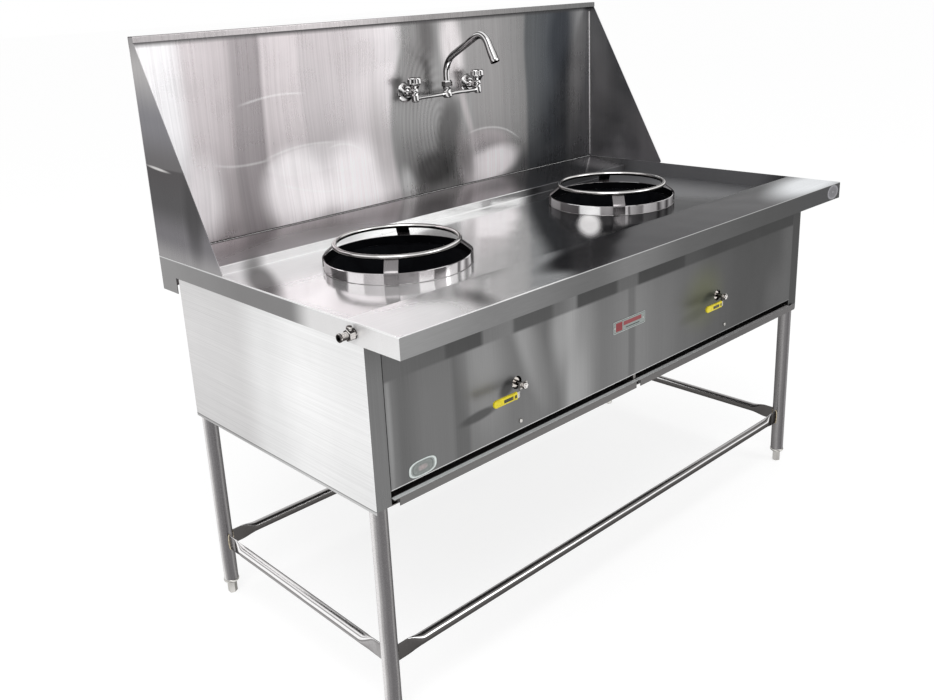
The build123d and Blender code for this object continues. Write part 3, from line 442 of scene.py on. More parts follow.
def brushed_sheet(
    name,
    bands,
    grain,
    patches=(),
    strips=(),
    sides=(),
    glints=(),
    sway=(0.0, 0.0, 0.0),
    swell=0.4,
    roughness=0.3,
    metal=1.0,
    dull=(),
    cloud=0.06,
    dents=0.0,
    contours=None,
):
    """Brushed stainless sheet. Tones are places in metres along an axis, each with its colour.
    - `bands`, (axis, tones): the broad tones, most of them painted light and shade. The first sways
      by `sway` in waves of `swell`, as light does on sheet that is not quite flat, and the later ones
      darken it.
    - `patches`, (middle, reach, turn, softness, colour, strength): soft ellipses of painted light and
      painted shade.
    - `glints`, (middle, half length, sag, turn, strength): thin bright arcs of painted highlight, as
      dents throw them.
    - `sides`, (direction, axis, tones, roughness, distance): painted tones, for how light falls on
      faces that look one way and lie beyond a distance that way.
    - `dull`, (middle, reach, turn, softness, metal, roughness): ellipses of duller sheet. A metal
      share below 1 lets the lamps reach it, here and all over.
    - `contours`, (middle, reach, eye, reach of the eye, lines, amount): the curved lines that
      crossed brushing leaves round an eye.
    - `strips`, (direction, from, to, axis, tones): painted tones with a straight edge, such as
      highlights on edges and shade under lips, which come in from one distance to another that way.
    - `grain`: how far a brush line reaches along X, Y and Z, and `cloud`, how much it lightens or
      darkens. Real lines are 0.1 mm apart, and are drawn 1 to 4 mm apart so that they show.
    - `dents`: the height of the sheet's slow waves."""
    material, tree = blank(name)
    coordinates = add(tree, "TexCoord")
    place, normal = coordinates.outputs["Object"], coordinates.outputs["Normal"]
    true_axes = add(tree, "SeparateXYZ", links={0: place})
    wave = add(tree, "TexNoise", {"Scale": 1 / swell, "Detail": 1.0, "Roughness": 0.4}, {"Vector": place})
    swing = add(tree, "VectorMath", {"operation": "SUBTRACT", 1: (0.5,) * 3}, {0: wave.outputs["Color"]})
    swings = {"operation": "MULTIPLY_ADD", 1: tuple(5 * reach for reach in sway)}
    bent = add(tree, "VectorMath", swings, {0: swing, 2: place})
    bent_axes = add(tree, "SeparateXYZ", links={0: bent})
    lay, darken = {"data_type": "RGBA"}, {"data_type": "RGBA", "blend_type": "MULTIPLY"}

    def toned(axis, stops, axes=true_axes):
        """Colour by the place along one axis, its stops given in metres."""
        first, last = stops[0][0], stops[-1][0]
        spread = add(tree, "MapRange", {1: first, 2: last}, {0: axes.outputs[axis]})
        ramp = add(tree, "ValToRGB", links={0: spread})
        ramp.color_ramp.interpolation = "EASE"
        set_stops(ramp, [((at - first) / (last - first), shade) for at, shade in stops])
        return ramp

    def near(middle, reach, turn):
        """The place as seen from the middle of an ellipse, in units of its reach."""
        settings = {"vector_type": "TEXTURE", "Location": middle, "Scale": reach}
        settings["Rotation"] = tuple(math.radians(angle) for angle in turn)
        return add(tree, "Mapping", settings, {"Vector": bent})

    def distance(middle, reach, turn=(0, 0, 0)):
        """How far the place is from the middle of an ellipse, where 1 is its edge."""
        length = add(tree, "VectorMath", {"operation": "LENGTH"}, {0: near(middle, reach, turn)})
        return length.outputs["Value"]

    def ellipse(middle, reach, turn, soft, strength):
        """The strength inside an ellipse, and nothing outside its soft edge."""
        limits = {"interpolation_type": "SMOOTHSTEP", 1: 1 - soft, 2: 1 + soft, 3: strength, 4: 0.0}
        return add(tree, "MapRange", limits, {0: distance(middle, reach, turn)})

    def toward(direction, vector):
        """How far a place lies, or a face looks, one way: vector · direction."""
        dot = add(tree, "VectorMath", {"operation": "DOT_PRODUCT", 1: direction}, {0: vector})
        return dot.outputs["Value"]

    colour = toned(*bands[0], bent_axes)
    for axis, stops in bands[1:]:
        colour = add(tree, "Mix", darken, {0: 1.0, 6: colour, 7: toned(axis, stops)}).outputs[2]
    for *where, shade, strength in patches:
        colour = add(tree, "Mix", lay, {0: ellipse(*where, strength), 6: colour, 7: linear(shade)}).outputs[2]
    for middle, half, sag, turn, strength in glints:
        x, _, z = add(tree, "SeparateXYZ", links={0: near(middle, (half,) * 3, turn)}).outputs
        square = add(tree, "Math", {"operation": "MULTIPLY"}, {0: x, 1: x})
        arc = add(tree, "Math", {"operation": "MULTIPLY_ADD", 1: -sag}, {0: square, 2: z})
        off = add(tree, "Math", {"operation": "ABSOLUTE"}, {0: arc})
        thin = {"interpolation_type": "SMOOTHSTEP", 1: 0.0, 2: 0.0045 / half, 3: strength, 4: 0.0}
        line = add(tree, "MapRange", thin, {0: off})
        ends = add(tree, "MapRange", {1: 0.4, 2: 1.0, 3: 1.0, 4: 0.0}, {0: square})
        shown = add(tree, "Math", {"operation": "MULTIPLY"}, {0: line, 1: ends})
        colour = add(tree, "Mix", lay, {0: shown, 6: colour, 7: linear("#ffffff")}).outputs[2]
    stretch = add(tree, "Mapping", {"Scale": tuple(1 / reach for reach in grain)}, {"Vector": bent})
    lines = add(tree, "TexNoise", {"Scale": 1.0, "Detail": 1.5, "Roughness": 0.5}, {"Vector": stretch})
    smear = add(tree, "TexNoise", {"Scale": 14.0, "Detail": 3.0}, {"Vector": place})
    gloss = add(tree, "MapRange", {1: 0.3, 2: 0.7, 3: roughness * 0.85, 4: roughness * 1.2}, {0: smear})
    for facing, axis, stops, rough, beyond in sides:
        looks = add(tree, "MapRange", {1: 0.6, 2: 0.8}, {0: toward(facing, normal)})
        outer = add(tree, "Math", {"operation": "GREATER_THAN", 1: beyond}, {0: toward(facing, place)})
        share = add(tree, "Math", {"operation": "MULTIPLY"}, {0: looks, 1: outer})
        colour = add(tree, "Mix", lay, {0: share, 6: colour, 7: toned(axis, stops)}).outputs[2]
        gloss = add(tree, "Mix", {3: rough}, {0: share, 2: gloss})
    for *where, share, rough in dull:
        fade = ellipse(*where, 1.0)
        metal = add(tree, "Mix", {3: share}, {0: fade, 2: metal})
        gloss = add(tree, "Mix", {3: rough}, {0: fade, 2: gloss})
    if contours:
        middle, reach, eye, ring, count, amount = contours
        inside = add(tree, "MapRange", {1: 1.15, 2: 0.7, 3: 0.0, 4: amount}, {0: distance(middle, reach)})
        phase = add(tree, "Math", {"operation": "MULTIPLY", 1: math.tau * count}, {0: distance(eye, ring)})
        lift = add(tree, "Math", {"operation": "MULTIPLY_ADD", 1: 20.0}, {0: wave, 2: phase})
        ripple = add(tree, "Math", {"operation": "SINE"}, {0: lift})
        shown = add(tree, "Math", {"operation": "MULTIPLY_ADD", 2: 1.0}, {0: ripple, 1: inside})
        colour = add(tree, "Mix", darken, {0: 1.0, 6: colour, 7: shown}).outputs[2]
    for direction, start, end, axis, stops in strips:
        share = add(tree, "MapRange", {1: start, 2: end}, {0: toward(direction, place)})
        colour = add(tree, "Mix", lay, {0: share, 6: colour, 7: toned(axis, stops)}).outputs[2]
    depth = add(tree, "MapRange", {1: 0.3, 2: 0.7, 3: 1 - cloud, 4: 1 + cloud}, {0: lines})
    rubbed = add(tree, "MapRange", {1: 0.3, 2: 0.7, 3: 0.97, 4: 1.02}, {0: smear})
    both = add(tree, "Math", {"operation": "MULTIPLY"}, {0: depth, 1: rubbed})
    colour = add(tree, "Mix", darken, {0: 1.0, 6: colour, 7: both}).outputs[2]
    # dark sheet stays dark where it is seen at a slant
    lifted = {"operation": "MULTIPLY_ADD", 1: (0.55,) * 3, 2: (0.45,) * 3}
    slant = add(tree, "VectorMath", lifted, {0: colour})
    combed = add(tree, "Math", {"operation": "MULTIPLY"}, {0: gloss, 1: depth})
    links = {"Base Color": colour, "Specular Tint": slant, "Roughness": combed, "Metallic": metal}
    if dents:
        slow = add(tree, "TexNoise", {"Scale": 7.0, "Detail": 1.0}, {"Vector": place})
        links["Normal"] = add(tree, "Bump", {"Distance": dents}, {"Height": slow})
    steel = add(tree, "BsdfPrincipled", {}, links)
    add(tree, "OutputMaterial", links={"Surface": steel})
    return material


def dress(material, *nodes):
    """Gives CAD nodes their material; their meshes stay as they are."""
    for node in nodes:
        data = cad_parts[node].data
        data.materials.clear()
        data.materials.append(material)


along_x, along_y, along_z = (0.25, 0.0012, 0.0012), (0.0012, 0.25, 0.0012), (0.0012, 0.0012, 0.25)
# a patch on a flat face reaches far through it
far = 9.0

# painted light: the left side faces the window, so it is painted nearly white, with painted shade
# greyer toward its rear and its foot, and a dark painted shadow line under the fold above the foot
side_sheet = brushed_sheet(
    "brushed_stainless_lit_side",
    [
        (1, [(-0.31, "#f4f4f4"), (-0.12, "#fbfbfb"), (0.0, "#f0f0f0"), (0.10, "#dfdede"), (0.30, "#e2e1e1")]),
        (2, [(0.434, "#d4d4d4"), (0.4395, "#cacaca"), (0.441, "#6a6a6a"), (0.4425, "#f0f0f0"),
             (0.60, "#f7f7f7"), (0.74, "#f4f4f4")]),
    ],
    along_y,
    roughness=0.34,
)
dress(side_sheet, "side_panel_left")
# the right side, away from the window, is a painted shaded copy
dark_side_sheet = brushed_sheet(
    "brushed_stainless_shaded_side",
    [(1, [(-0.31, "#8c8a8a"), (0.0, "#a5a3a3"), (0.30, "#8f8d8d")])],
    along_y,
    roughness=0.34,
)
dress(dark_side_sheet, "side_panel_right")

# painted light: the posts darken toward the right, and painted shade darkens them toward their tops under the
# top's edge
post_sheet = brushed_sheet(
    "brushed_stainless_post",
    [
        (0, [(-0.7, "#777777"), (0.0, "#6b6b6b"), (0.7, "#585858")]),
        (2, [(0.44, "#ffffff"), (0.66, "#f8f8f8"), (0.74, "#dcdcdc")]),
    ],
    along_z,
    roughness=0.3,
)
dress(post_sheet, *[f"corner_post_{corner}" for corner in corners])


def upright(face, ellipses):
    """Ellipses on an upright sheet at y = `face` for `brushed_sheet`, each written as x, z, half
    width, half height and turn, and then what follows its middle, reach and turn there."""
    return [
        ((x, face, z), (wide, far, tall), (0, turn, 0), *rest) for x, z, wide, tall, turn, *rest in ellipses
    ]


# the front is in its own shade, which is painted: mid grey with upright pale patches of painted
# reflection, and under the top's edge a darker painted band, broken into lengths by the patches,
# stands for the apron's reflection; a thin painted highlight runs along the bottom fold; its face
# lies at y = `panel`
panel = -0.306
front_sheet = brushed_sheet(
    "brushed_stainless_front",
    [
        (0, [(-0.665, "#6f6f6f"), (-0.64, "#757575"), (-0.615, "#666666"), (-0.56, "#737373"),
             (-0.505, "#737373"), (-0.492, "#646464"), (-0.468, "#656565"), (-0.455, "#777777"),
             (-0.36, "#747474"), (-0.27, "#757575"), (-0.245, "#696969"), (-0.205, "#6c6c6c"),
             (-0.182, "#949494"), (-0.15, "#8c8c8c"), (-0.08, "#747474"), (0.0, "#7d7d7d"),
             (0.006, "#6e6e6e"), (0.022, "#6e6e6e"), (0.03, "#7f7f7f"), (0.12, "#747474"),
             (0.22, "#696969"), (0.32, "#5e5e5e"), (0.45, "#545454"), (0.60, "#545454"),
             (0.665, "#636363")]),
        (2, [(0.465, "#ffffff"), (0.62, "#ffffff"), (0.774, "#f4f4f4")]),
    ],
    (0.0015, 0.0015, 0.2),
    patches=upright(panel, [
        (-0.42, 0.63, 0.045, 0.12, -8, 0.85, "#979797", 0.7),
        (-0.300, 0.63, 0.026, 0.13, -20, 0.7, "#a2a2a2", 0.8),
        (-0.20, 0.65, 0.034, 0.10, 10, 0.7, "#a6a6a6", 0.75),
        (-0.17, 0.50, 0.035, 0.08, 0, 0.8, "#a6a6a6", 0.6),
        (0.28, 0.575, 0.06, 0.055, 0, 0.8, "#6d7052", 0.55),
        (0.61, 0.50, 0.05, 0.06, 0, 0.8, "#6c6c6c", 0.5),
        (-0.26, 0.575, 0.03, 0.10, -14, 0.8, "#6a6a6a", 0.6),
        (-0.642, 0.58, 0.005, 0.13, 0, 0.9, "#a8a8a8", 0.4),
        # painted shadows of the levers
        (-0.440, 0.531, 0.045, 0.0095, -3, 0.35, "#4c4c4c", 0.85),
        (-0.365, 0.560, 0.022, 0.014, -35, 0.5, "#3c3c3c", 0.8),
        (0.252, 0.540, 0.05, 0.012, -3, 0.7, "#55564c", 0.5),
        (0.300, 0.566, 0.025, 0.010, -10, 0.6, "#434740", 0.7),
    ]),
    strips=(
        ((0, 0, 1), 0.6605, 0.6655, 0,
         [(-0.665, "#666666"), (-0.515, "#626262"), (-0.505, "#505050"), (-0.425, "#4e4e4e"),
          (-0.415, "#767676"), (-0.345, "#7a7a7a"), (-0.335, "#5a5a5a"), (-0.24, "#565656"),
          (-0.22, "#6c6c6c"), (-0.165, "#7d7d7d"), (-0.155, "#4b4b4b"), (-0.04, "#4c4c4c"),
          (-0.025, "#676767"), (0.032, "#676767"), (0.042, "#474747"), (0.20, "#454545"),
          (0.212, "#535353"), (0.36, "#484848"), (0.665, "#464646")]),
        ((0, 0, -1), -0.4680, -0.4672, 0,
         [(-0.66, "#d9d9d9"), (0.0, "#d4d4d4"), (0.4, "#9a9a9a"), (0.66, "#8a8a8a")]),
    ),
    sway=(0.004, 0.0, 0.002),
    roughness=0.42,
    metal=0.75,
    cloud=0.05,
)
dress(front_sheet, "front_panel")
back_sheet = brushed_sheet(
    "brushed_stainless_back",
    [(0, [(-0.65, "#9a9898"), (0.1, "#adabab"), (0.66, "#8f8d8d")])],
    along_x,
    roughness=0.34,
)
dress(back_sheet, "back_panel")

# ---------------------------------------------------------------- top
# One folded sheet: a front ledge, a sunk floor round the burners and a sloping shelf behind,
# closed by aprons. It is polished by use, and mirrors the splashback and the burner drums; its
# colour also carries painted reflections of them, dark where it mirrors the dark right, painted
# shade on the shelf and the aprons' faces, and painted highlights along its front and left top edges.

top_sheet = brushed_sheet(
    "use_polished_stainless_top",
    [
        (0, [(-0.69, "#e4e2e3"), (-0.3, "#eeeeee"), (0.2, "#f6f6f6"), (0.72, "#f0f0f0")]),
        (1, [(-0.402, "#ffffff"), (0.2412, "#ffffff"), (0.2425, "#969294"), (0.30, "#8a8687"),
             (0.37, "#9a9697")]),
    ],
    along_x,
    # painted reflections and shade: the dark right of the floor, bright images of the right drum, and dark
    # and light patches on the ledge and shelf
    patches=(
        ((0.770, -0.702, 0.74), (2.5, 1.0, far), (0, 0, 47.9), 0.025, "#626264", 1.0),
        ((0.844, -0.80, 0.74), (2.5, 1.0, far), (0, 0, 39.4), 0.05, "#353537", 1.0),
        ((0.66, 0.0, 0.74), (0.17, 0.27, far), (0, 0, 0), 0.25, "#6c6c6e", 1.0),
        ((0.150, -0.090, 0.74), (0.025, 0.105, far), (0, 0, -53), 0.4, "#f2f0f0", 0.95),
        ((0.235, -0.120, 0.74), (0.016, 0.06, far), (0, 0, -53), 0.4, "#c5c3c4", 0.85),
        ((0.14, -0.345, 0.77), (0.42, 0.082, far), (0, 0, 0), 0.1, "#474648", 1.0),
        ((0.66, -0.36, 0.77), (0.17, 0.06, far), (0, 0, 6), 0.6, "#e6e8ea", 1.0),
        ((-0.475, -0.345, 0.77), (0.022, 0.045, far), (0, 0, -20), 0.9, "#5f5f5f", 0.8),
        ((-0.585, 0.14, 0.74), (0.028, 0.13, far), (0, 0, -22), 0.5, "#626060", 0.9),
        ((-0.33, -0.23, 0.74), (0.035, 0.06, far), (0, 0, -40), 0.8, "#8a8a8a", 0.6),
        ((0.43, 0.31, 0.76), (0.22, 0.06, far), (0, 0, 0), 0.4, "#4a4a4c", 0.5),
        ((0.67, 0.31, 0.76), (0.06, 0.06, far), (0, 0, 0), 0.6, "#aaa8a9", 0.9),
        ((-0.30, 0.31, 0.76), (0.07, 0.05, far), (0, 0, 0), 0.8, "#5f5b5b", 0.7),
    ),
    dull=(
        ((-0.45, 0.20, 0.74), (0.24, 0.10, far), (0, 0, 10), 0.5, 0.15, 0.5),
        ((-0.66, -0.15, 0.74), (0.04, 0.15, far), (0, 0, 0), 0.6, 0.15, 0.5),
        ((-0.62, -0.34, 0.77), (0.10, 0.06, far), (0, 0, 0), 0.5, 0.5, 0.4),
        ((0.150, -0.090, 0.74), (0.025, 0.105, far), (0, 0, -53), 0.4, 0.25, 0.4),
        ((0.66, 0.0, 0.74), (0.17, 0.26, far), (0, 0, 0), 0.25, 0.3, 0.4),
    ),
    # painted highlights along the front and left top edges
    strips=(
        ((0, -1, 1), 1.1738, 1.1748, 0, [(-0.69, "#f2f2f2"), (0.0, "#e8e8e8"), (0.72, "#d8d8d8")]),
        ((-1, 0, 1), 1.4575, 1.4585, 1, [(-0.4, "#f4f4f4"), (0.37, "#cfcfcf")]),
    ),
    # painted shade on the apron's front faces, and painted light and shade on its left faces
    sides=(
        ((0, -1, 0), 0, [(-0.70, "#8f8f8f"), (-0.45, "#7a7a7a"), (-0.22, "#686868"), (-0.12, "#777777"),
                         (0.10, "#5f5f5f"), (0.40, "#535353"), (0.71, "#4f4f50")], 0.3, 0.39),
        ((-1, 0, 0), 1, [(-0.40, "#e6e5e5"), (-0.175, "#dedddd"), (-0.105, "#7f7e7e"), (0.10, "#868585"),
                         (0.37, "#989797")], 0.3, 0.6),
    ),
    sway=(0.008, 0.008, 0.0),
    roughness=0.13,
    metal=0.8,
    cloud=0.04,
    dents=0.0016,
)
dress(top_sheet, "deck")

# ---------------------------------------------------------------- splashback
# A tall folded sheet with raked side wings spot-welded inside its ends. The brushing runs upright;
# the light that the sheet's slight waves throw about is painted into its colour as tall patches of
# painted reflection with bright painted arcs, bright on the left and dark on the right.

# where the sheet lies along Y
back = 0.370
splash_sheet = brushed_sheet(
    "brushed_stainless_splash",
    [
        (0, [(-0.69, "#dcdadb"), (-0.655, "#efecee"), (-0.61, "#e6e4e6"), (-0.56, "#cbc4c6"),
             (-0.495, "#c2bbbd"), (-0.477, "#b9b2b4"), (-0.466, "#a29c9e"), (-0.402, "#9f999b"),
             (-0.392, "#cbc4c6"), (-0.30, "#d2cbcd"), (-0.287, "#c6c0c2"), (-0.24, "#c9c3c5"),
             (-0.16, "#cec8ca"), (-0.10, "#dcd6d8"), (-0.03, "#eae5e7"), (-0.010, "#d6d3d4"),
             (0.004, "#9d9c9c"), (0.06, "#8b8a8a"), (0.11, "#787777"), (0.128, "#8a8989"),
             (0.20, "#a09e9e"), (0.30, "#9c9a9a"), (0.425, "#8d8c8c"), (0.442, "#606264"),
             (0.55, "#53565a"), (0.60, "#55575a"), (0.632, "#7c7c7d"), (0.70, "#828284")]),
        (2, [(0.775, "#f4f4f4"), (0.84, "#ffffff"), (1.19, "#ffffff"), (1.214, "#f0f0f0")]),
    ],
    (0.0036, 0.0036, 0.35),
    patches=upright(back, [
        (-0.64, 1.02, 0.04, 0.14, 10, 0.7, "#f0eff1", 0.7),
        (-0.565, 0.86, 0.045, 0.08, 6, 0.6, "#fdf8fa", 0.9),
        (-0.33, 0.84, 0.085, 0.10, 0, 0.3, "#fffafc", 0.9),
        (-0.27, 0.918, 0.13, 0.032, -5, 0.1, "#fffcfd", 0.3),
        (-0.15, 0.84, 0.11, 0.10, 14, 0.4, "#fffafc", 1.0),
        (-0.065, 0.93, 0.035, 0.13, -4, 0.6, "#c3bebf", 0.8),
        (-0.20, 1.16, 0.10, 0.05, 20, 0.7, "#c2bbbd", 0.5),
        (0.10, 0.93, 0.14, 0.30, 0, 0.07, "#9f9e9e", 1.0),
        (0.04, 1.10, 0.04, 0.10, 8, 0.6, "#878585", 0.6),
        (0.082, 1.17, 0.03, 0.07, -6, 0.7, "#646262", 0.8),
        (0.145, 0.905, 0.042, 0.10, 12, 0.4, "#686767", 0.9),
        (0.085, 0.828, 0.058, 0.042, 0, 0.45, "#5e5d5d", 0.9),
        (0.0, 0.79, 0.020, 0.05, -10, 0.6, "#ffffff", 0.7),
        (0.172, 1.13, 0.036, 0.10, -6, 0.5, "#e4dfe0", 1.0),
        (0.205, 0.99, 0.010, 0.15, -16, 0.8, "#c9c3c4", 0.7),
        (0.285, 0.878, 0.075, 0.034, 8, 0.35, "#b5aeb0", 0.8),
        (0.225, 0.815, 0.045, 0.06, -12, 0.6, "#e8e2e4", 0.8),
        (0.285, 0.815, 0.105, 0.044, -8, 0.3, "#fff9fb", 1.0),
        (0.20, 0.85, 0.025, 0.06, -10, 0.7, "#9c9798", 0.8),
        (0.52, 0.80, 0.12, 0.035, 0, 0.6, "#66686b", 0.6),
        (0.59, 1.13, 0.05, 0.12, 4, 0.5, "#3b3e43", 0.9),
        (0.672, 1.06, 0.03, 0.15, 8, 0.6, "#a3a2a2", 0.8),
    ]),
    dull=upright(back, [
        (-0.15, 0.86, 0.12, 0.10, 14, 0.6, 0.35, 0.4),
        (-0.36, 0.85, 0.12, 0.09, 0, 0.6, 0.45, 0.4),
        (-0.57, 0.85, 0.06, 0.06, 0, 0.6, 0.6, 0.4),
        (0.30, 0.81, 0.08, 0.04, 0, 0.6, 0.4, 0.4),
    ]),
    strips=(
        # painted shade under the top lip, a painted highlight on the lip's face, and painted shade along the
        # foot
        ((0, 0, 1), 1.190, 1.199, 0, [(-0.69, "#787677"), (0.0, "#5a5859"), (0.7, "#434344")]),
        ((0, -1, 0), -0.353, -0.352, 0,
         [(-0.69, "#a5a1a2"), (-0.2, "#c4bfc0"), (0.1, "#9a9797"), (0.7, "#747474")]),
        ((0, 0, -1), -0.7785, -0.7775, 0, [(-0.69, "#5d595a"), (0.0, "#4c4a4a"), (0.7, "#303032")]),
        # its back, which the window's light doesn't reach
        ((0, 1, 0), 0.3694, 0.3698, 0, [(-0.69, "#a3a1a1"), (0.0, "#969494"), (0.7, "#a09e9e")]),
    ),
    # painted glints: thin bright arcs of painted highlight
    glints=(
        ((-0.37, back, 1.068), 0.095, -0.1, (0, -3, 0), 0.3),
        ((-0.46, back, 0.925), 0.075, 0.12, (0, 4, 0), 0.3),
        ((-0.31, back, 0.950), 0.10, -0.12, (0, -6, 0), 0.35),
        ((-0.18, back, 0.940), 0.055, -0.25, (0, 10, 0), 0.35),
        ((-0.17, back, 0.888), 0.055, 0.5, (0, -30, 0), 0.4),
        ((-0.27, back, 0.838), 0.13, 0.18, (0, 8, 0), 0.4),
        ((0.31, back, 0.912), 0.10, -0.28, (0, 10, 0), 0.3),
    ),
    sway=(0.010, 0.0, 0.006),
    swell=0.3,
    roughness=0.28,
    metal=0.9,
    cloud=0.07,
    contours=((0.055, back, 0.98), (0.075, far, 0.17), (0.12, back, 0.93), (0.15, far, 0.30), 13, 0.10),
)
dress(splash_sheet, "splash_panel")
# painted reflections on the left wing, bright at its foot and top and dark between, with a painted shade
# patch and a thin painted glint line
wing_sheet = brushed_sheet(
    "brushed_stainless_wing",
    [
        (2, [(0.775, "#a19fa0"), (0.83, "#7f7d80"), (0.90, "#626162"), (0.968, "#605e5f"),
             (0.972, "#757374"), (1.06, "#8b8a8e"), (1.16, "#b8b6b6"), (1.21, "#a3a1a2")]),
    ],
    along_z,
    patches=(
        ((-0.683, 0.20, 0.89), (far, 0.03, 0.08), (0, 0, 0), 0.6, "#545354", 0.8),
        ((-0.683, 0.318, 0.968), (far, 0.035, 0.0025), (4, 0, 0), 0.6, "#dddbda", 0.9),
    ),
    sway=(0.0, 0.01, 0.01),
)
dress(wing_sheet, "splash_wing_left")
# painted light on the right wing, with a pale painted patch
far_wing_sheet = brushed_sheet(
    "brushed_stainless_far_wing",
    [(2, [(0.775, "#a3a1a4"), (0.9, "#9a989a"), (1.21, "#8e8e90")])],
    along_z,
    patches=(((0.713, 0.26, 0.81), (far, 0.02, 0.03), (0, 0, 0), 0.6, "#c9c7c9", 0.5),),
    sway=(0.0, 0.01, 0.01),
    roughness=0.38,
)
dress(far_wing_sheet, "splash_wing_right")

# the corners where the sheet meets its wings are closed by a ground weld, painted as a bright line
# of painted highlight and reflection
corner_weld = bright_steel(
    "ground_corner_weld",
    [(0.0, "#8f8d8d"), (0.5, "#e9e6e6"), (1.0, "#f4f2f2")],
    lean=(-0.7, -0.7, 0.0),
    roughness=0.3,
)
weld_foot, weld_top, weld_inset = 0.78, 1.19, 0.8 * mm
weld_r, weld_ripple = 1.5, 0.15
for side, inward in (("left", 1), ("right", -1)):
    low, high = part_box(f"splash_wing_{side}")
    x = (high.x if side == "left" else low.x) + inward * weld_inset
    t = np.linspace(weld_foot, weld_top, 60)
    fat = (weld_r + weld_ripple * np.sin(t * 400)) * mm
    line = np.stack([np.full_like(t, x), np.full_like(t, high.y - weld_inset), t], -1)
    weld = carried(line, round_section(fat, 12), (0, 1, 0))
    piece(f"splash_corner_weld_{side}", [weld], corner_weld, "range", ())

# ---------------------------------------------------------------- burner drums
# A rolled and polished stainless band, 22 mm high, is tacked to the sunk floor round each hole.
# Upright bright and dark bands of painted reflection lie on it, and a thin uneven bead runs round its foot.

# the bands of painted reflection on each drum, in order from its left end to its right as seen from
# the front left; the right drum's are laid on sheet with no metal share
drum_painted_reflections = {
    "left": [(0.0, "#7d7a7b"), (0.015, "#d9d6d7"), (0.05, "#cfcccd"), (0.07, "#6b6869"), (0.15, "#858283"),
             (0.17, "#fffcfd"), (0.26, "#fbf8f9"), (0.28, "#c0bdbe"), (0.40, "#cdcacb"), (0.50, "#8b8889"),
             (0.62, "#9d9a9b"), (0.635, "#f6f3f4"), (0.72, "#efeced"), (0.735, "#6d6a6b"),
             (0.80, "#7f7c7d"), (0.815, "#f2eff0"), (0.87, "#dbd8d9"), (0.885, "#5d5a5b"),
             (0.91, "#e5e2e3"), (0.94, "#777475"), (0.97, "#dedbdc"), (1.0, "#5c595a")],
    "right": [(0.0, "#6d6a6b"), (0.02, "#b9b6b7"), (0.09, "#a5a2a3"), (0.11, "#6a6768"), (0.25, "#5d5a5b"),
              (0.275, "#ffffff"), (0.41, "#ffffff"), (0.43, "#9f9c9d"), (0.48, "#a9a6a7"),
              (0.56, "#7b7879"), (0.585, "#f2eff0"), (0.63, "#d9d6d7"), (0.645, "#5f5c5d"),
              (0.66, "#bdbabb"), (0.74, "#8f8c8d"), (0.76, "#d6d3d4"), (0.84, "#c3c0c1"), (0.86, "#585556"),
              (0.90, "#c9c6c7"), (0.93, "#4f4c4d"), (0.96, "#d1cecf"), (1.0, "#605d5e")],
}
polished_bands = {
    side: bright_steel(f"rolled_stainless_painted_reflection_{side}", drum_painted_reflections[side], lean, 0.1, 0.03, 0.05, metal)
    for side, lean, metal in (("left", (0.776, -0.631, 0.0), 0.8), ("right", (0.613, -0.790, 0.0), 0.0))
}
# a dark bead, with painted reflection bands set by which way it faces
seam_tones = [(0.0, "#4a4848"), (0.5, "#6f6d6d"), (1.0, "#a19f9f")]
seam_steel = bright_steel("ground_seam_bead", seam_tones, lean=(-0.4, -0.4, 0.8), roughness=0.4)
burner_middle = {}
for side in ("left", "right"):
    low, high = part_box(f"drum_{side}")
    x, y = (low.x + high.x) / 2, (low.y + high.y) / 2
    burner_middle[side] = (x, y)
    outer, foot, rim = (high.x - low.x) / 2, low.z, high.z
    # the band is 1.6 mm thick, and its rim's outer edge is broken
    inner = outer - 2 * mm + 0.4 * mm
    broken = 0.8 * mm
    wall = [(foot, outer), (rim - broken, outer), (rim, outer - broken), (rim, inner)]
    wall += [(rim - 1.2 * mm, inner), (foot, inner), wall[0]]
    band = [turned(wall, (x, y, 0), sides=192)]
    piece(f"burner_drum_{side}", band, polished_bands[side], "range", (f"drum_{side}",))
    a = np.linspace(0, math.tau, 220, endpoint=False)
    uneven = (0.9 + 0.25 * np.sin(a * 9 + x) + 0.2 * np.sin(a * 23) + 0.2 * np.sin(a * 41 + 1)) * mm
    seat = np.stack([x + outer * np.cos(a), y + outer * np.sin(a), np.full_like(a, foot + 0.4 * mm)], -1)
    bead = carried(seat, round_section(uneven, 10), (0, 0, 1), loop=True)
    piece(f"burner_drum_seam_{side}", [bead], seam_steel, "range", ())

# ---------------------------------------------------------------- burner cones and heads
# A black cast-iron cone hangs in each hole and holds the heat round the drilled burner head.
# Sand casting leaves it pitted and dull; soot makes it blacker toward the fire.


def sand_cast(name, hot, cool, roughness, sheen=0.3):
    """Sand-cast grey iron under soot: near black, dull, with 2 to 4 mm pits and finer grain.
    Soot drinks the light, so `sheen`, the share of a plain gloss that is left, is low there."""
    material, tree = blank(name)
    place = add(tree, "TexCoord").outputs["Object"]
    pits = add(tree, "TexNoise", {"Scale": 300.0, "Detail": 5.0, "Roughness": 0.65}, {"Vector": place})
    soot = add(tree, "TexNoise", {"Scale": 30.0, "Detail": 4.0}, {"Vector": place})
    amount = add(tree, "MapRange", {1: 0.35, 2: 0.65}, {0: soot})
    tone = add(tree, "Mix", {"data_type": "RGBA", 6: linear(hot), 7: linear(cool)}, {0: amount})
    bump = add(tree, "Bump", {"Strength": 0.5, "Distance": 0.0006}, {"Height": pits})
    gloss = add(tree, "MapRange", {1: 0.3, 2: 0.7, 3: roughness - 0.08, 4: roughness + 0.1}, {0: pits})
    links = {"Base Color": tone.outputs[2], "Roughness": gloss, "Normal": bump}
    iron = add(tree, "BsdfPrincipled", {"Metallic": 0.0, "Specular IOR Level": sheen}, links)
    add(tree, "OutputMaterial", links={"Surface": iron})
    return material


sooted_iron = sand_cast("sooted_cast_iron", "#020204", "#07080b", 0.75, sheen=0.04)
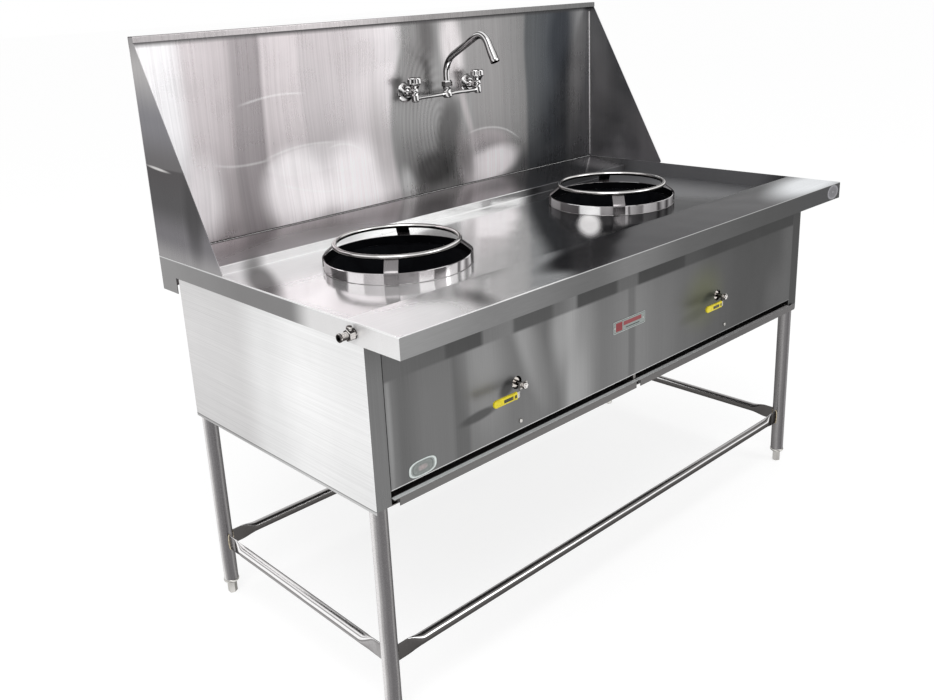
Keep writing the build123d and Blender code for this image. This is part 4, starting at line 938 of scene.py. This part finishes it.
# outlines are pairs of height above the floor and radius
cone = [(739, 149.7), (743, 149.7), (743, 135), (652, 80), (640, 80), (640, 84), (650, 84), (739, 139),
        (739, 149.7)]
lining = [(743, 149.2), (760, 149.2), (760, 150.3), (743, 150.3), (743, 149.2)]
head = [(603, 18.1), (603, 48), (611, 52), (627, 52), (637, 44), (637, 28), (629, 22), (629, 0)]
port = [(636.6, 4.1), (638.2, 3.7), (638.2, 2.5), (629, 2.5), (629, 0)]
port_count, port_circle = 16, 36 * mm
for side in ("left", "right"):
    x, y = burner_middle[side]
    spot = (x, y, 0)
    bowl = [turned(in_mm(cone, 1.5), spot, sides=128)]
    piece(f"burner_cone_{side}", bowl, sooted_iron, "range", (f"chamber_{side}",))
    # a near-black lining covers the inside of the drum above the cone
    soot = [turned(in_mm(lining), spot, sides=128)]
    piece(f"burner_drum_black_lining_{side}", soot, sooted_iron, "range", ())
    cast = [turned(in_mm(head, 2), spot)]
    for turn in np.arange(port_count) * math.tau / port_count:
        port_spot = (x + port_circle * math.cos(turn), y + port_circle * math.sin(turn), 0)
        cast.append(turned(in_mm(port), port_spot, sides=20))
    piece(f"burner_head_{side}", cast, sooted_iron, "range", (f"burner_{side}",))

dress(sand_cast("cast_mixing_tube_iron", "#17181a", "#262729", 0.65), "mixing_tube_left", "mixing_tube_right")
cradle_tones = [(0, [(-0.5, "#8a8785"), (0.5, "#9c9997")])]
cradle_steel = brushed_sheet("mill_stainless_cradle", cradle_tones, along_y, roughness=0.42)
dress(cradle_steel, "burner_cradles")

# ---------------------------------------------------------------- wok rings
# A 10 mm polished stainless wire bent to a circle and butt-welded. Four flat straps are welded
# under it, slope out to the drum's rim and hook down over its side, so the ring lifts off.

# painted reflection bands, with a painted highlight near the top, set by which way the wire faces
ring_wire = bright_steel(
    "polished_stainless_wire",
    [(0.0, "#4f4d4c"), (0.2, "#8f8d8b"), (0.36, "#6b6968"), (0.5, "#a3a19f"), (0.62, "#6a6867"),
     (0.78, "#8f8d8b"), (0.86, "#f3f1f0"), (0.93, "#d5d3d2"), (0.97, "#7d7b7a"), (1.0, "#a9a7a6")],
    lean=(-0.25, -0.35, 0.9),
    roughness=0.16,
    streak=0.06,
)
strap_tones = [(2, [(0.74, "#8d8a8b"), (0.79, "#7b7879")])]
strap_steel = brushed_sheet("brushed_stainless_strap", strap_tones, along_z, roughness=0.25)


def strap_section(half_wide, half_thick, ease):
    """Section of a flat strap: a rectangle from -half to half each way, its corners eased."""
    outline = [(-half_wide, 0), (-half_wide, -half_thick), (half_wide, -half_thick), (half_wide, half_thick)]
    outline += [(-half_wide, half_thick), (-half_wide, 0)]
    return eased(outline, ease, steps=3)[:-1]


ring_r, ring_height, wire_r = 0.128, 0.7875, 5
weld_turn, weld_wide, weld_proud = 2.2, 0.03, 0.07
# a strap's run: distance from the ring's middle, and height
strap_run = in_mm([(126.2, 785.4), (153.4, 763.6), (153.4, 741.5)])
strap_run = eased(strap_run, 5 * mm, steps=7)
strap_flat = strap_section(14 * mm, 1.2 * mm, 0.5 * mm)
for side in ("left", "right"):
    x, y = burner_middle[side]
    ring_body = f"wok_ring_{side}"
    a = np.linspace(0, math.tau, 192, endpoint=False)
    circle = np.stack([x + ring_r * np.cos(a), y + ring_r * np.sin(a), np.full_like(a, ring_height)], -1)
    # the butt weld is ground nearly flush, a third of a millimetre proud
    weld = 1 + weld_proud * np.exp(-(((a - weld_turn) / weld_wide) ** 2))
    wire = carried(circle, round_section(weld, 20) * wire_r * mm, (0, 0, 1), loop=True)
    piece(f"wok_ring_wire_{side}", [wire], ring_wire, ring_body, (f"wok_ring_{side}",))
    straps = []
    for quarter in np.arange(4) * math.pi / 2 + math.pi / 4:
        out = np.array((math.cos(quarter), math.sin(quarter), 0))
        line = np.array((x, y, 0)) + strap_run[:, :1] * out + strap_run[:, 1:] * np.array((0, 0, 1))
        steps = np.linspace(0, 1, 6)[:, None]
        line = np.concatenate([line[:1] + (line[1] - line[0]) * steps[:-1], line[1:]])
        straps.append(carried(line, strap_flat, np.cross(out, (0, 0, 1))))
    piece(f"wok_ring_straps_{side}", straps, strap_steel, ring_body, ())

# ---------------------------------------------------------------- gas line
# Black pipe inside the body feeds two ball valves. Its plated end stands out through the left
# apron, worn, with dark and bright bands of painted reflection: a threaded nipple, a hexagon and a
# small plug on a test point.

pipe_steel = sand_cast("painted_black_pipe", "#1b1b1c", "#2a2a2b", 0.5)
dress(pipe_steel, "manifold", "gas_jets")
nipple_steel = bright_steel(
    "nickel_plated_brass_painted_reflection",
    [(0.0, "#1e1c1b"), (0.3, "#6f6b69"), (0.45, "#3d3a39"), (0.6, "#5c5957"), (0.74, "#eae6e3"),
     (0.86, "#6d6967"), (1.0, "#3a3736")],
    lean=(0.1, -0.5, 0.86),
    roughness=0.25,
    streak=0.2,
    speckle=0.12,
)


def threaded(a, along, r):
    """Radius of a thread: r less a ridge whose height follows the sawtooth of along/pitch - a/turn."""
    pitch, depth = 1.3 * mm, 0.75 * mm
    ridge = np.abs((along / pitch - a / math.tau) % 1 - 0.5) * 2
    return np.where(r > 5.5 * mm, r - depth * (1 - ridge), r + 0 * a)


low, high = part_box("gas_inlet")
inlet_height, test_point_from = 0.756, 22 * mm
inlet = (low.x, (low.y + high.y) / 2, inlet_height)
test_spot = (low.x + test_point_from, *inlet[1:])
# outlines are pairs of distance from the nipple's mouth and radius; the thread's has many points
nipple_mouth = [(12, 4.5), (0, 4.5), (0, 7.2), (0.6, 7.9), (3.0, 7.9), (3.6, 7.2)]
thread_run = np.linspace(3.6, 17, 100)
thread = np.stack([thread_run, np.full_like(thread_run, 6.6)], -1)
nipple = np.vstack([nipple_mouth, thread, [(17, 6.0), (17.5, 0)]])
hexagon = [(16, 0), (16, 7.9), (16.8, 9), (27.2, 9), (28, 7.9), (28, 0)]
collar = [(27.8, 0), (27.8, 8.6), (41.6, 8.6), (41.6, 0)]
test_point = [(0, 4.6), (10.5, 4.6), (10.5, 5.2), (11.2, 5.2), (14, 5.0), (15.0, 4.0), (15.0, 0)]
fitting = [
    turned(in_mm(nipple), inlet, "X", 72, threaded),
    turned(in_mm(hexagon), inlet, "X", 96, hexagonal),
    turned(in_mm(collar, 0.6), inlet, "X", 64),
    turned(in_mm(test_point, 0.6), test_spot, "Z", 48),
]
piece("gas_inlet_fitting", fitting, nipple_steel, "range", ("gas_inlet",))

# ---------------------------------------------------------------- gas valves and levers
# Nickel-plated ball valves hide behind the front panel. Outside it show only the bonnet, the
# stem with its nut, and a pressed steel lever whose end is dipped in yellow vinyl.

# painted reflection bands, set by which way the surface faces
valve_plating = bright_steel(
    "nickel_plated_valve",
    [(0.0, "#57534f"), (0.35, "#c7c1ba"), (0.55, "#77726c"), (0.75, "#e9e3dc"), (1.0, "#9b958f")],
    lean=(0.3, -0.6, 0.7),
    roughness=0.3,
)
dress(valve_plating, "gas_valve_left", "gas_valve_right")
# painted reflection bands, set by which way the lever faces
lever_steel = bright_steel(
    "zinc_plated_lever",
    [(0.0, "#4a4847"), (0.4, "#8b8987"), (0.55, "#5c5a58"), (0.75, "#d9d6d2"), (1.0, "#a3a09d")],
    lean=(0.3, -0.7, 0.6),
    roughness=0.32,
)


def dipped_vinyl(name, colour, worn):
    """Dip-moulded yellow vinyl: even, soft-glossy, slightly grimy where fingers hold it."""
    material, tree = blank(name)
    place = add(tree, "TexCoord").outputs["Object"]
    grime = add(tree, "TexNoise", {"Scale": 160.0, "Detail": 4.0}, {"Vector": place})
    amount = add(tree, "MapRange", {1: 0.52, 2: 0.75}, {0: grime})
    tone = add(tree, "Mix", {"data_type": "RGBA", 6: linear(colour), 7: linear(worn)}, {0: amount})
    skin = add(tree, "TexNoise", {"Scale": 900.0, "Detail": 2.0}, {"Vector": place})
    bump = add(tree, "Bump", {"Strength": 0.1, "Distance": 0.0002}, {"Height": skin})
    gloss = add(tree, "MapRange", {1: 0.3, 2: 0.7, 3: 0.32, 4: 0.5}, {0: grime})
    links = {"Base Color": tone.outputs[2], "Roughness": gloss, "Normal": bump}
    vinyl = add(tree, "BsdfPrincipled", {"Metallic": 0.0}, links)
    add(tree, "OutputMaterial", links={"Surface": vinyl})
    return material


yellow_vinyl = dipped_vinyl("dipped_yellow_vinyl", "#dccb10", "#b8a20c")
black_print = dipped_vinyl("black_print_on_vinyl", "#26251a", "#6a6424")
# outlines are pairs of distance from the bonnet's face and radius
stem = [(-6, 0), (-6, 2.9), (-5.4, 3.5), (3.4, 3.5), (3.4, 5), (32, 5), (32, 0)]
nut = [(-5, 0), (-5, 5.4), (-4.5, 6), (0, 6), (0, 0)]
washer = [(-0.1, 0), (-0.1, 7.0), (0.5, 7.0), (0.5, 0)]
# the lever is a strip that steps forward and 6 mm down
lever_out, lever_drop, strip_thick = 12.75, 6, 1.25
lever_run = [(9, strip_thick, 0), (-12, strip_thick, 0), (-26, -lever_out, -lever_drop),
             (-92, -lever_out, -lever_drop)]
lever_run = eased(in_mm(lever_run), 5 * mm, steps=7)
lever_flat = strap_section(6 * mm, strip_thick * mm, 0.4 * mm)
grip_tip, grip_long, grip_half_wide, grip_half_deep = 94.5, 60, 7.5, 3.25
# as shares of its length or size: its round tip, its mouth's rim and its taper
round_tip, mouth_rim, grip_taper = 0.12, 0.09, 0.06
print_out, print_half_thick = 15.85, 0.25
bonnet_face = -0.324
for side in ("left", "right"):
    low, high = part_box(f"valve_stem_{side}")
    x, z = (low.x + high.x) / 2, (low.z + high.z) / 2
    lever_body = f"valve_lever_{side}"
    pivot = (x, bonnet_face, z)
    turnings = [
        turned(in_mm(stem), pivot, "Y", 48),
        turned(in_mm(nut), pivot, "Y", 96, hexagonal),
        turned(in_mm(washer), (x, bonnet_face - 0.3 * mm, z), "Y", 48),
    ]
    stands_for = (f"valve_stem_{side}",)
    piece(f"valve_stem_and_nut_{side}", turnings, nipple_steel, lever_body, stands_for)
    strip = [carried(np.array(pivot) + lever_run, lever_flat, (0, 0, 1))]
    piece(f"valve_lever_strip_{side}", strip, lever_steel, lever_body, (lever_body,))
    # grip: a rounded sleeve, slightly slimmer at its mouth, with a moulded rim
    t = np.linspace(0, 1, 60)
    tip = np.sqrt(1 - np.clip((round_tip - t) / round_tip, 0, 1) ** 2)
    mouth = 1 + mouth_rim * np.exp(-(((t - 0.985) / 0.02) ** 2)) - grip_taper * t
    wide, deep = grip_half_wide * mm * tip * mouth, grip_half_deep * mm * np.sqrt(tip) * mouth
    grip_y, grip_z = np.full_like(t, bonnet_face - lever_out * mm), np.full_like(t, z - lever_drop * mm)
    line = np.stack([x - grip_tip * mm + t * grip_long * mm, grip_y, grip_z], -1)
    a = np.linspace(0, math.tau, 40, endpoint=False)
    round_u = np.sign(np.cos(a)) * np.abs(np.cos(a)) ** 0.55
    round_v = np.sign(np.sin(a)) * np.abs(np.sin(a)) ** 0.55
    section = np.stack([wide[:, None] * round_u, deep[:, None] * round_v], -1)
    sleeve = [carried(line, section, (0, 0, 1))]
    stands_for = (f"valve_grip_{side}",)
    piece(f"valve_grip_sleeve_{side}", sleeve, yellow_vinyl, lever_body, stands_for, sharp=50)
    # two dark printed fields, left blank: a long one and a small one nearer the stem
    marks = []
    for first, last, tall in ((-70, -46, 3.2), (-41.5, -36.5, 3.0)):
        low, high = -print_half_thick, print_half_thick
        field = in_mm([(-tall, low), (tall, low), (tall, high), (-tall, high)])
        run = in_mm([(first, -print_out, -lever_drop), (last, -print_out, -lever_drop)])
        marks.append(carried(np.array(pivot) + run, field, (0, 0, 1)))
    piece(f"valve_grip_print_{side}", marks, black_print, lever_body, ())

# ---------------------------------------------------------------- drip trays
# Two shallow folded trays slide out to the front on plain runners. Only the front walls show,
# as a narrow lip under the panel with a gap between the two.

# painted light on the trays' upward faces, painted shade inside them behind the front walls, and mid grey
# painted shade on the front walls
tray_sheet = brushed_sheet(
    "brushed_stainless_tray",
    [(0, [(-0.65, "#6e6d6c"), (-0.1, "#6b6968"), (0.4, "#5c5a5a"), (0.7, "#666464")])],
    along_x,
    sides=(((0, 0, 1), 0, [(-0.65, "#eef2f2"), (0.0, "#e2e4e4"), (0.7, "#b5b3b3")], 0.5, 0.0),),
    strips=(((0, 1, 0), -0.3017, -0.3012, 0, [(-0.65, "#3c3b3b"), (0.7, "#3c3b3b")]),),
    roughness=0.36,
    metal=0.45,
)
dress(tray_sheet, "drip_tray_left", "drip_tray_right")
dress(cradle_steel, "tray_runners")

# ---------------------------------------------------------------- tap
# A chrome-plated cast wall tap: two valve bodies with fluted heads on a bridge, a swivel spout
# from its middle, and a round flange over each hole in the splashback. Its colour is painted
# reflection: near black beside near white by which way the surface faces, with thin bright lines
# on every edge.

chrome = bright_steel(
    "chrome_plated_brass",
    [(0.0, "#1d1d1e"), (0.14, "#a9a8a8"), (0.24, "#3a3939"), (0.38, "#f3f2f2"), (0.47, "#6f6d6d"),
     (0.56, "#232323"), (0.66, "#f8f7f7"), (0.8, "#d0cece"), (0.88, "#4b4a4a"), (1.0, "#fafafa")],
    lean=(0.55, -0.35, 0.75),
    roughness=0.07,
    streak=0.16,
)
spout_low, spout_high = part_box("spout")
tap_x = (spout_low.x + spout_high.x) / 2
tap_y, wall_y, wall_back = 0.332, 0.3685, 0.370
half_span, bridge_z, shank_z = 0.1063, 1.022, 1.036
# outlines are pairs of height above the floor and radius, and along the shank, of distance and radius;
# a cast valve body is a short barrel with a rolled foot, a waist and a collar for the bonnet
barrel = [(1012.5, 0), (1012.5, 6.2), (1014.5, 8.8), (1018, 9.3), (1029, 9.3), (1032, 8.4), (1036, 8.4),
          (1038, 9.4), (1042, 9.4), (1043, 8.8), (1045, 8.8), (1045, 5.1), (1031, 5.1), (1031, 0)]
# the shank goes through the wall to the supply tail
tail = [(5.8, 0), (5.8, 7.2), (17, 7.2), (21, 10.3), (46.4, 10.3), (47, 10), (68, 10), (68, 6.6),
        (30, 6.6), (30, 0)]
boss = [(1012.5, 0), (1012.5, 8.5), (1015, 11.6), (1018, 12), (1025, 11.9), (1030, 9.6), (1034, 9.4),
        (1037, 11.2), (1040.5, 11.4), (1040.5, 8.1), (1020.5, 8.1), (1020.5, 0)]
dish = [(0, 10.4), (0, 24.6), (-0.8, 25), (-2.2, 24.6), (-5.2, 20.5), (-7.6, 16.5), (-9, 13.5),
        (-9, 10.4), (0, 10.4)]
locknut = [(0, 10.4), (0, 15.2), (0.8, 16), (7.2, 16), (8, 15.2), (8, 10.4), (0, 10.4)]
body, flanges, locknuts = [], [], []
for side in (-1, 1):
    x = tap_x + side * half_span
    body.append(turned(in_mm(barrel, 1.0), (x, tap_y, 0), sides=64))
    body.append(turned(in_mm(tail, 0.5), (x, tap_y, shank_z), "Y", 64))
    flanges.append(turned(in_mm(dish, 0.8), (x, wall_y, shank_z), "Y", 96))
    locknuts.append(turned(in_mm(locknut), (x, wall_back, shank_z), "Y", 96, hexagonal))
# bridge arms swell toward the spout's boss and toward each valve body
arm_r, boss_swell, end_swell = 4.6, 2.4, 1.9
along = np.linspace(-1, 1, 161)
swell = arm_r + boss_swell * np.exp(-((np.abs(along) / 0.13) ** 2))
swell = swell + end_swell * np.exp(-(((1 - np.abs(along)) / 0.11) ** 2))
arm = np.stack([along * half_span, swell * mm], -1)
arm = np.vstack([[(-half_span, 0)], arm, [(half_span, 0)]])
body.append(turned(arm, (tap_x, tap_y, bridge_z), "X", 48))
body.append(turned(in_mm(boss, 1.4), (tap_x, tap_y, 0), sides=72))
piece("tap_body", body, chrome, "range", ("tap_bridge",))
piece("tap_wall_flanges", flanges, chrome, "range", ("tap_flanges",))
piece("tap_lock_nuts", locknuts, nipple_steel, "range", ("tap_locknuts",))

head_foot, flute_deep, flute_wide = 1.0545, 5.6 * mm, 0.36


def fluted(a, along, r):
    """Radius of a four-lobed head: r less a scoop, exp(-(angle from the flute / width)²), that
    fades out toward the skirt and the top edge."""
    turn = a % (math.pi / 2) - math.pi / 4
    scoop = np.exp(-((turn / flute_wide) ** 2))
    height = np.clip((along - head_foot) / (4 * mm), 0, 1)
    return r - flute_deep * scoop * height * (r > 12 * mm)


head = [(1045.6, 0), (1045.6, 9.6), (1047, 10.4), (1052, 12.2), (1055, 15.5), (1056.5, 18.6),
        (1058, 19.9), (1069, 19.4), (1071, 18.4), (1071.6, 16.8), (1071.6, 9), (1071.0, 8.4),
        (1071.0, 0)]
head = in_mm(head, 0.8)
# the flutes need the outline in fine steps
steps = np.linspace(0, len(head) - 1, 90)
head = np.stack([np.interp(steps, np.arange(len(head)), part) for part in head.T], -1)
spindle = [(1031.2, 0), (1031.2, 3.2), (1033, 5), (1047, 5), (1047, 0)]
for side, sign in (("left", -1), ("right", 1)):
    spot = (tap_x + sign * half_span, tap_y, 0)
    turnings = [turned(head, spot, sides=144, shape=fluted), turned(in_mm(spindle), spot, sides=32)]
    handle = f"tap_handle_{side}"
    piece(f"tap_head_{side}", turnings, chrome, handle, (f"tap_handle_{side}",), sharp=40)

nut = [(1040.6, 8.1), (1040.6, 11.2), (1041.4, 12), (1050.5, 12), (1051.6, 11), (1053.4, 9.9),
       (1055, 9.4), (1055, 8.1), (1040.6, 8.1)]
nut = [turned(in_mm(nut), (tap_x, tap_y, 0), sides=96, shape=hexagonal)]
piece("spout_nut_chrome", nut, chrome, "range", ("spout_nut",))

# the spout: straight up, leaning run, round crest and a wider cast nose with a worn bright skin
# its bends are given in millimetres as distance back and height
bends = in_mm([(332, 1031.8), (332, 1102.5), (197.5, 1173), (162, 1101.5)])
route = eased(bends, 34 * mm, steps=26)
step = np.concatenate([[0], np.cumsum(np.linalg.norm(np.diff(route, axis=0), axis=1))])
even = np.linspace(0, step[-1], 150)
back_and_up = [np.interp(even, step, part) for part in route.T]
line = np.stack([np.full_like(even, tap_x), *back_and_up], -1)
t = even / step[-1]
# the nose swells from a share of the way along, and ends in a thin lip
tube_r, nose_swell, nose_from, nose_long, lip_swell, tube_sides = 8, 2.75, 0.62, 0.3, 0.5, 48
girth = tube_r + nose_swell * np.clip((t - nose_from) / nose_long, 0, 1) ** 1.3
girth = girth + lip_swell * np.exp(-(((t - 0.985) / 0.008) ** 2))
tube_points, _ = carried(line, round_section(girth, tube_sides) * mm, (1, 0, 0))
# the last ring turns inward: a lip and an open mouth 12 mm deep in place of a flat end
mouth_deep, mouth_r = 12, np.array([10.75, 7.75, 7.75, 0.0]) * mm
tip, heading = line[-1], (line[-1] - line[-2]) / np.linalg.norm(line[-1] - line[-2])
mouth_path = tip - heading * np.array([0, 0, mouth_deep, mouth_deep])[:, None] * mm
mouth = round_section(mouth_r, tube_sides)
up = np.cross(heading, (1, 0, 0))
mouth_points = mouth_path[:, None] + mouth[..., :1] * np.array((1, 0, 0)) + mouth[..., 1:] * up
open_tube = tube_points[:-tube_sides]
rings = len(open_tube) // tube_sides + len(mouth_r)
spout = (np.concatenate([open_tube, mouth_points.reshape(-1, 3)]), cells(rings, tube_sides))
piece("spout_tube", [spout], chrome, "spout", ("spout",), sharp=40)

# ---------------------------------------------------------------- plate, stickers and screws
# An aluminium plate is riveted to the front panel, and blank silver film stickers are stuck to the
# panel and the apron. The plate's print is plain fields without words or signs.

plate_low, plate_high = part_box("nameplate")
plate_size = plate_high - plate_low
plate_middle = plate_low + plate_size * 0.5
material, tree = blank("printed_aluminium_plate")
place = add(tree, "TexCoord").outputs["Object"]
rub = add(tree, "TexNoise", {"Scale": 220.0, "Detail": 3.0}, {"Vector": place})
worn = add(tree, "MapRange", {1: 0.3, 2: 0.7, 3: 0.88, 4: 1.08}, {0: rub})
colour = linear("#b7bdbb")
# rim, dark line, ground, then a square, a long bar and a thin line, as shares of the plate
for left, right, foot, top, shade in (
    (0.012, 0.988, 0.05, 0.95, "#2b3331"),
    (0.020, 0.980, 0.085, 0.915, "#8d9491"),
    (0.075, 0.275, 0.14, 0.86, "#86292f"),
    (0.310, 0.880, 0.46, 0.80, "#8c3c41"),
    (0.385, 0.820, 0.20, 0.29, "#3a4240"),
):
    across, height = plate_size.x * (left + right) / 2, plate_size.z * (foot + top) / 2
    middle = (plate_low.x + across, plate_middle.y, plate_low.z + height)
    reach = (plate_size.x * (right - left) / 2, 1.0, plate_size.z * (top - foot) / 2)
    settings = {"vector_type": "TEXTURE", "Location": middle, "Scale": reach}
    local = add(tree, "Mapping", settings, {"Vector": place})
    off = add(tree, "VectorMath", {"operation": "ABSOLUTE"}, {0: local})
    x, _, z = add(tree, "SeparateXYZ", links={0: off}).outputs
    greater = add(tree, "Math", {"operation": "MAXIMUM"}, {0: x, 1: z})
    inside = add(tree, "Math", {"operation": "LESS_THAN", 1: 1.0}, {0: greater})
    colour = add(tree, "Mix", {"data_type": "RGBA"}, {0: inside, 6: colour, 7: linear(shade)}).outputs[2]
aged = add(tree, "VectorMath", {"operation": "MULTIPLY"}, {0: colour, 1: worn})
gloss = add(tree, "MapRange", {1: 0.3, 2: 0.7, 3: 0.32, 4: 0.45}, {0: rub})
skin = add(tree, "BsdfPrincipled", {"Metallic": 0.35}, {"Base Color": aged, "Roughness": gloss})
add(tree, "OutputMaterial", links={"Surface": skin})
dress(material, "nameplate")
rivet = [(-1.3, 0), (-1.2, 0.9), (-0.8, 1.6), (0, 2.0), (0, 0)]
rivets = []
for share in (0.04, 0.935):
    spot = (plate_low.x + plate_size.x * share, plate_low.y, (plate_low.z + plate_high.z) / 2)
    rivets.append(turned(in_mm(rivet), spot, "Y", 24))
piece("plate_rivets", rivets, turned_steel, "range", ())


def silver_film(name, centre, reach, fullness, stops):
    """Printed polyester film: rings of tone by the distance from its middle in units of its reach,
    the f-th root of x^f + z^f with f its fullness, and small creases from being rubbed on."""
    material, tree = blank(name)
    place = add(tree, "TexCoord").outputs["Object"]
    settings = {"vector_type": "TEXTURE", "Location": centre, "Scale": reach}
    local = add(tree, "Mapping", settings, {"Vector": place})
    off = add(tree, "VectorMath", {"operation": "ABSOLUTE"}, {0: local})
    raised = add(tree, "VectorMath", {"operation": "POWER", 1: (fullness,) * 3}, {0: off})
    total = add(tree, "VectorMath", {"operation": "DOT_PRODUCT", 1: (1, 0, 1)}, {0: raised})
    distance = add(tree, "Math", {"operation": "POWER", 1: 1 / fullness}, {0: total.outputs["Value"]})
    rings = add(tree, "ValToRGB", links={0: distance})
    set_stops(rings, stops)
    crease = add(tree, "TexNoise", {"Scale": 190.0, "Detail": 3.0}, {"Vector": place})
    worn = add(tree, "MapRange", {1: 0.3, 2: 0.7, 3: 0.85, 4: 1.12}, {0: crease})
    tone = add(tree, "VectorMath", {"operation": "MULTIPLY"}, {0: rings, 1: worn})
    bump = add(tree, "Bump", {"Strength": 0.3, "Distance": 0.0002}, {"Height": crease})
    links = {"Base Color": tone, "Normal": bump}
    film = add(tree, "BsdfPrincipled", {"Metallic": 0.5, "Roughness": 0.35}, links)
    add(tree, "OutputMaterial", links={"Surface": film})
    return material


def oval(wide, tall, fullness):
    """The shape of a rounded oval for `turned`, whose profile then gives shares of its full size."""

    def radius(a, along, r):
        """Radius at angle a from upright: r over the f-th root of (|cos a| / height)^f +
        (|sin a| / width)^f, with f the fullness."""
        total = np.abs(np.cos(a) / tall) ** fullness + np.abs(np.sin(a) / wide) ** fullness
        return r / total ** (1 / fullness)

    return radius


# each has its middle, its half width and half height, its fullness and the tones of its rings
panel_front, apron_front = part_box("front_panel")[0].y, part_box("deck")[0].y
stickers = {
    "oval_sticker": ((-0.5755, panel_front, 0.4840), 33 * mm, 16 * mm, 2.9, [
        (0.0, "#a89c9b"), (0.30, "#93908f"), (0.36, "#7b7f7d"), (0.66, "#858a88"), (0.70, "#565b59"),
        (0.74, "#8e9391"), (0.80, "#8b908e"), (0.85, "#cdd4d2"), (0.95, "#cdd4d2"), (0.98, "#4f5452")]),
    "round_sticker": ((0.680, apron_front, 0.7567), 26 * mm, 17.5 * mm, 2.0, [
        (0.0, "#8f8e92"), (0.10, "#8f8e92"), (0.14, "#67666a"), (0.74, "#6b6a6e"), (0.80, "#88878b"),
        (0.97, "#7d7c80")]),
}
film_half_thick = 0.15 * mm
film = [(film_half_thick, 0), (film_half_thick, 1), (-film_half_thick, 1), (-film_half_thick, 0)]
for name, (centre, wide, tall, fullness, stops) in stickers.items():
    material = silver_film(f"silver_film_{name}", centre, (wide, 1.0, tall), fullness, stops)
    piece(name, [turned(film, centre, "Y", 72, oval(wide, tall, fullness))], material, "range", ())
dress(turned_steel, "panel_screws")

low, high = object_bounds()
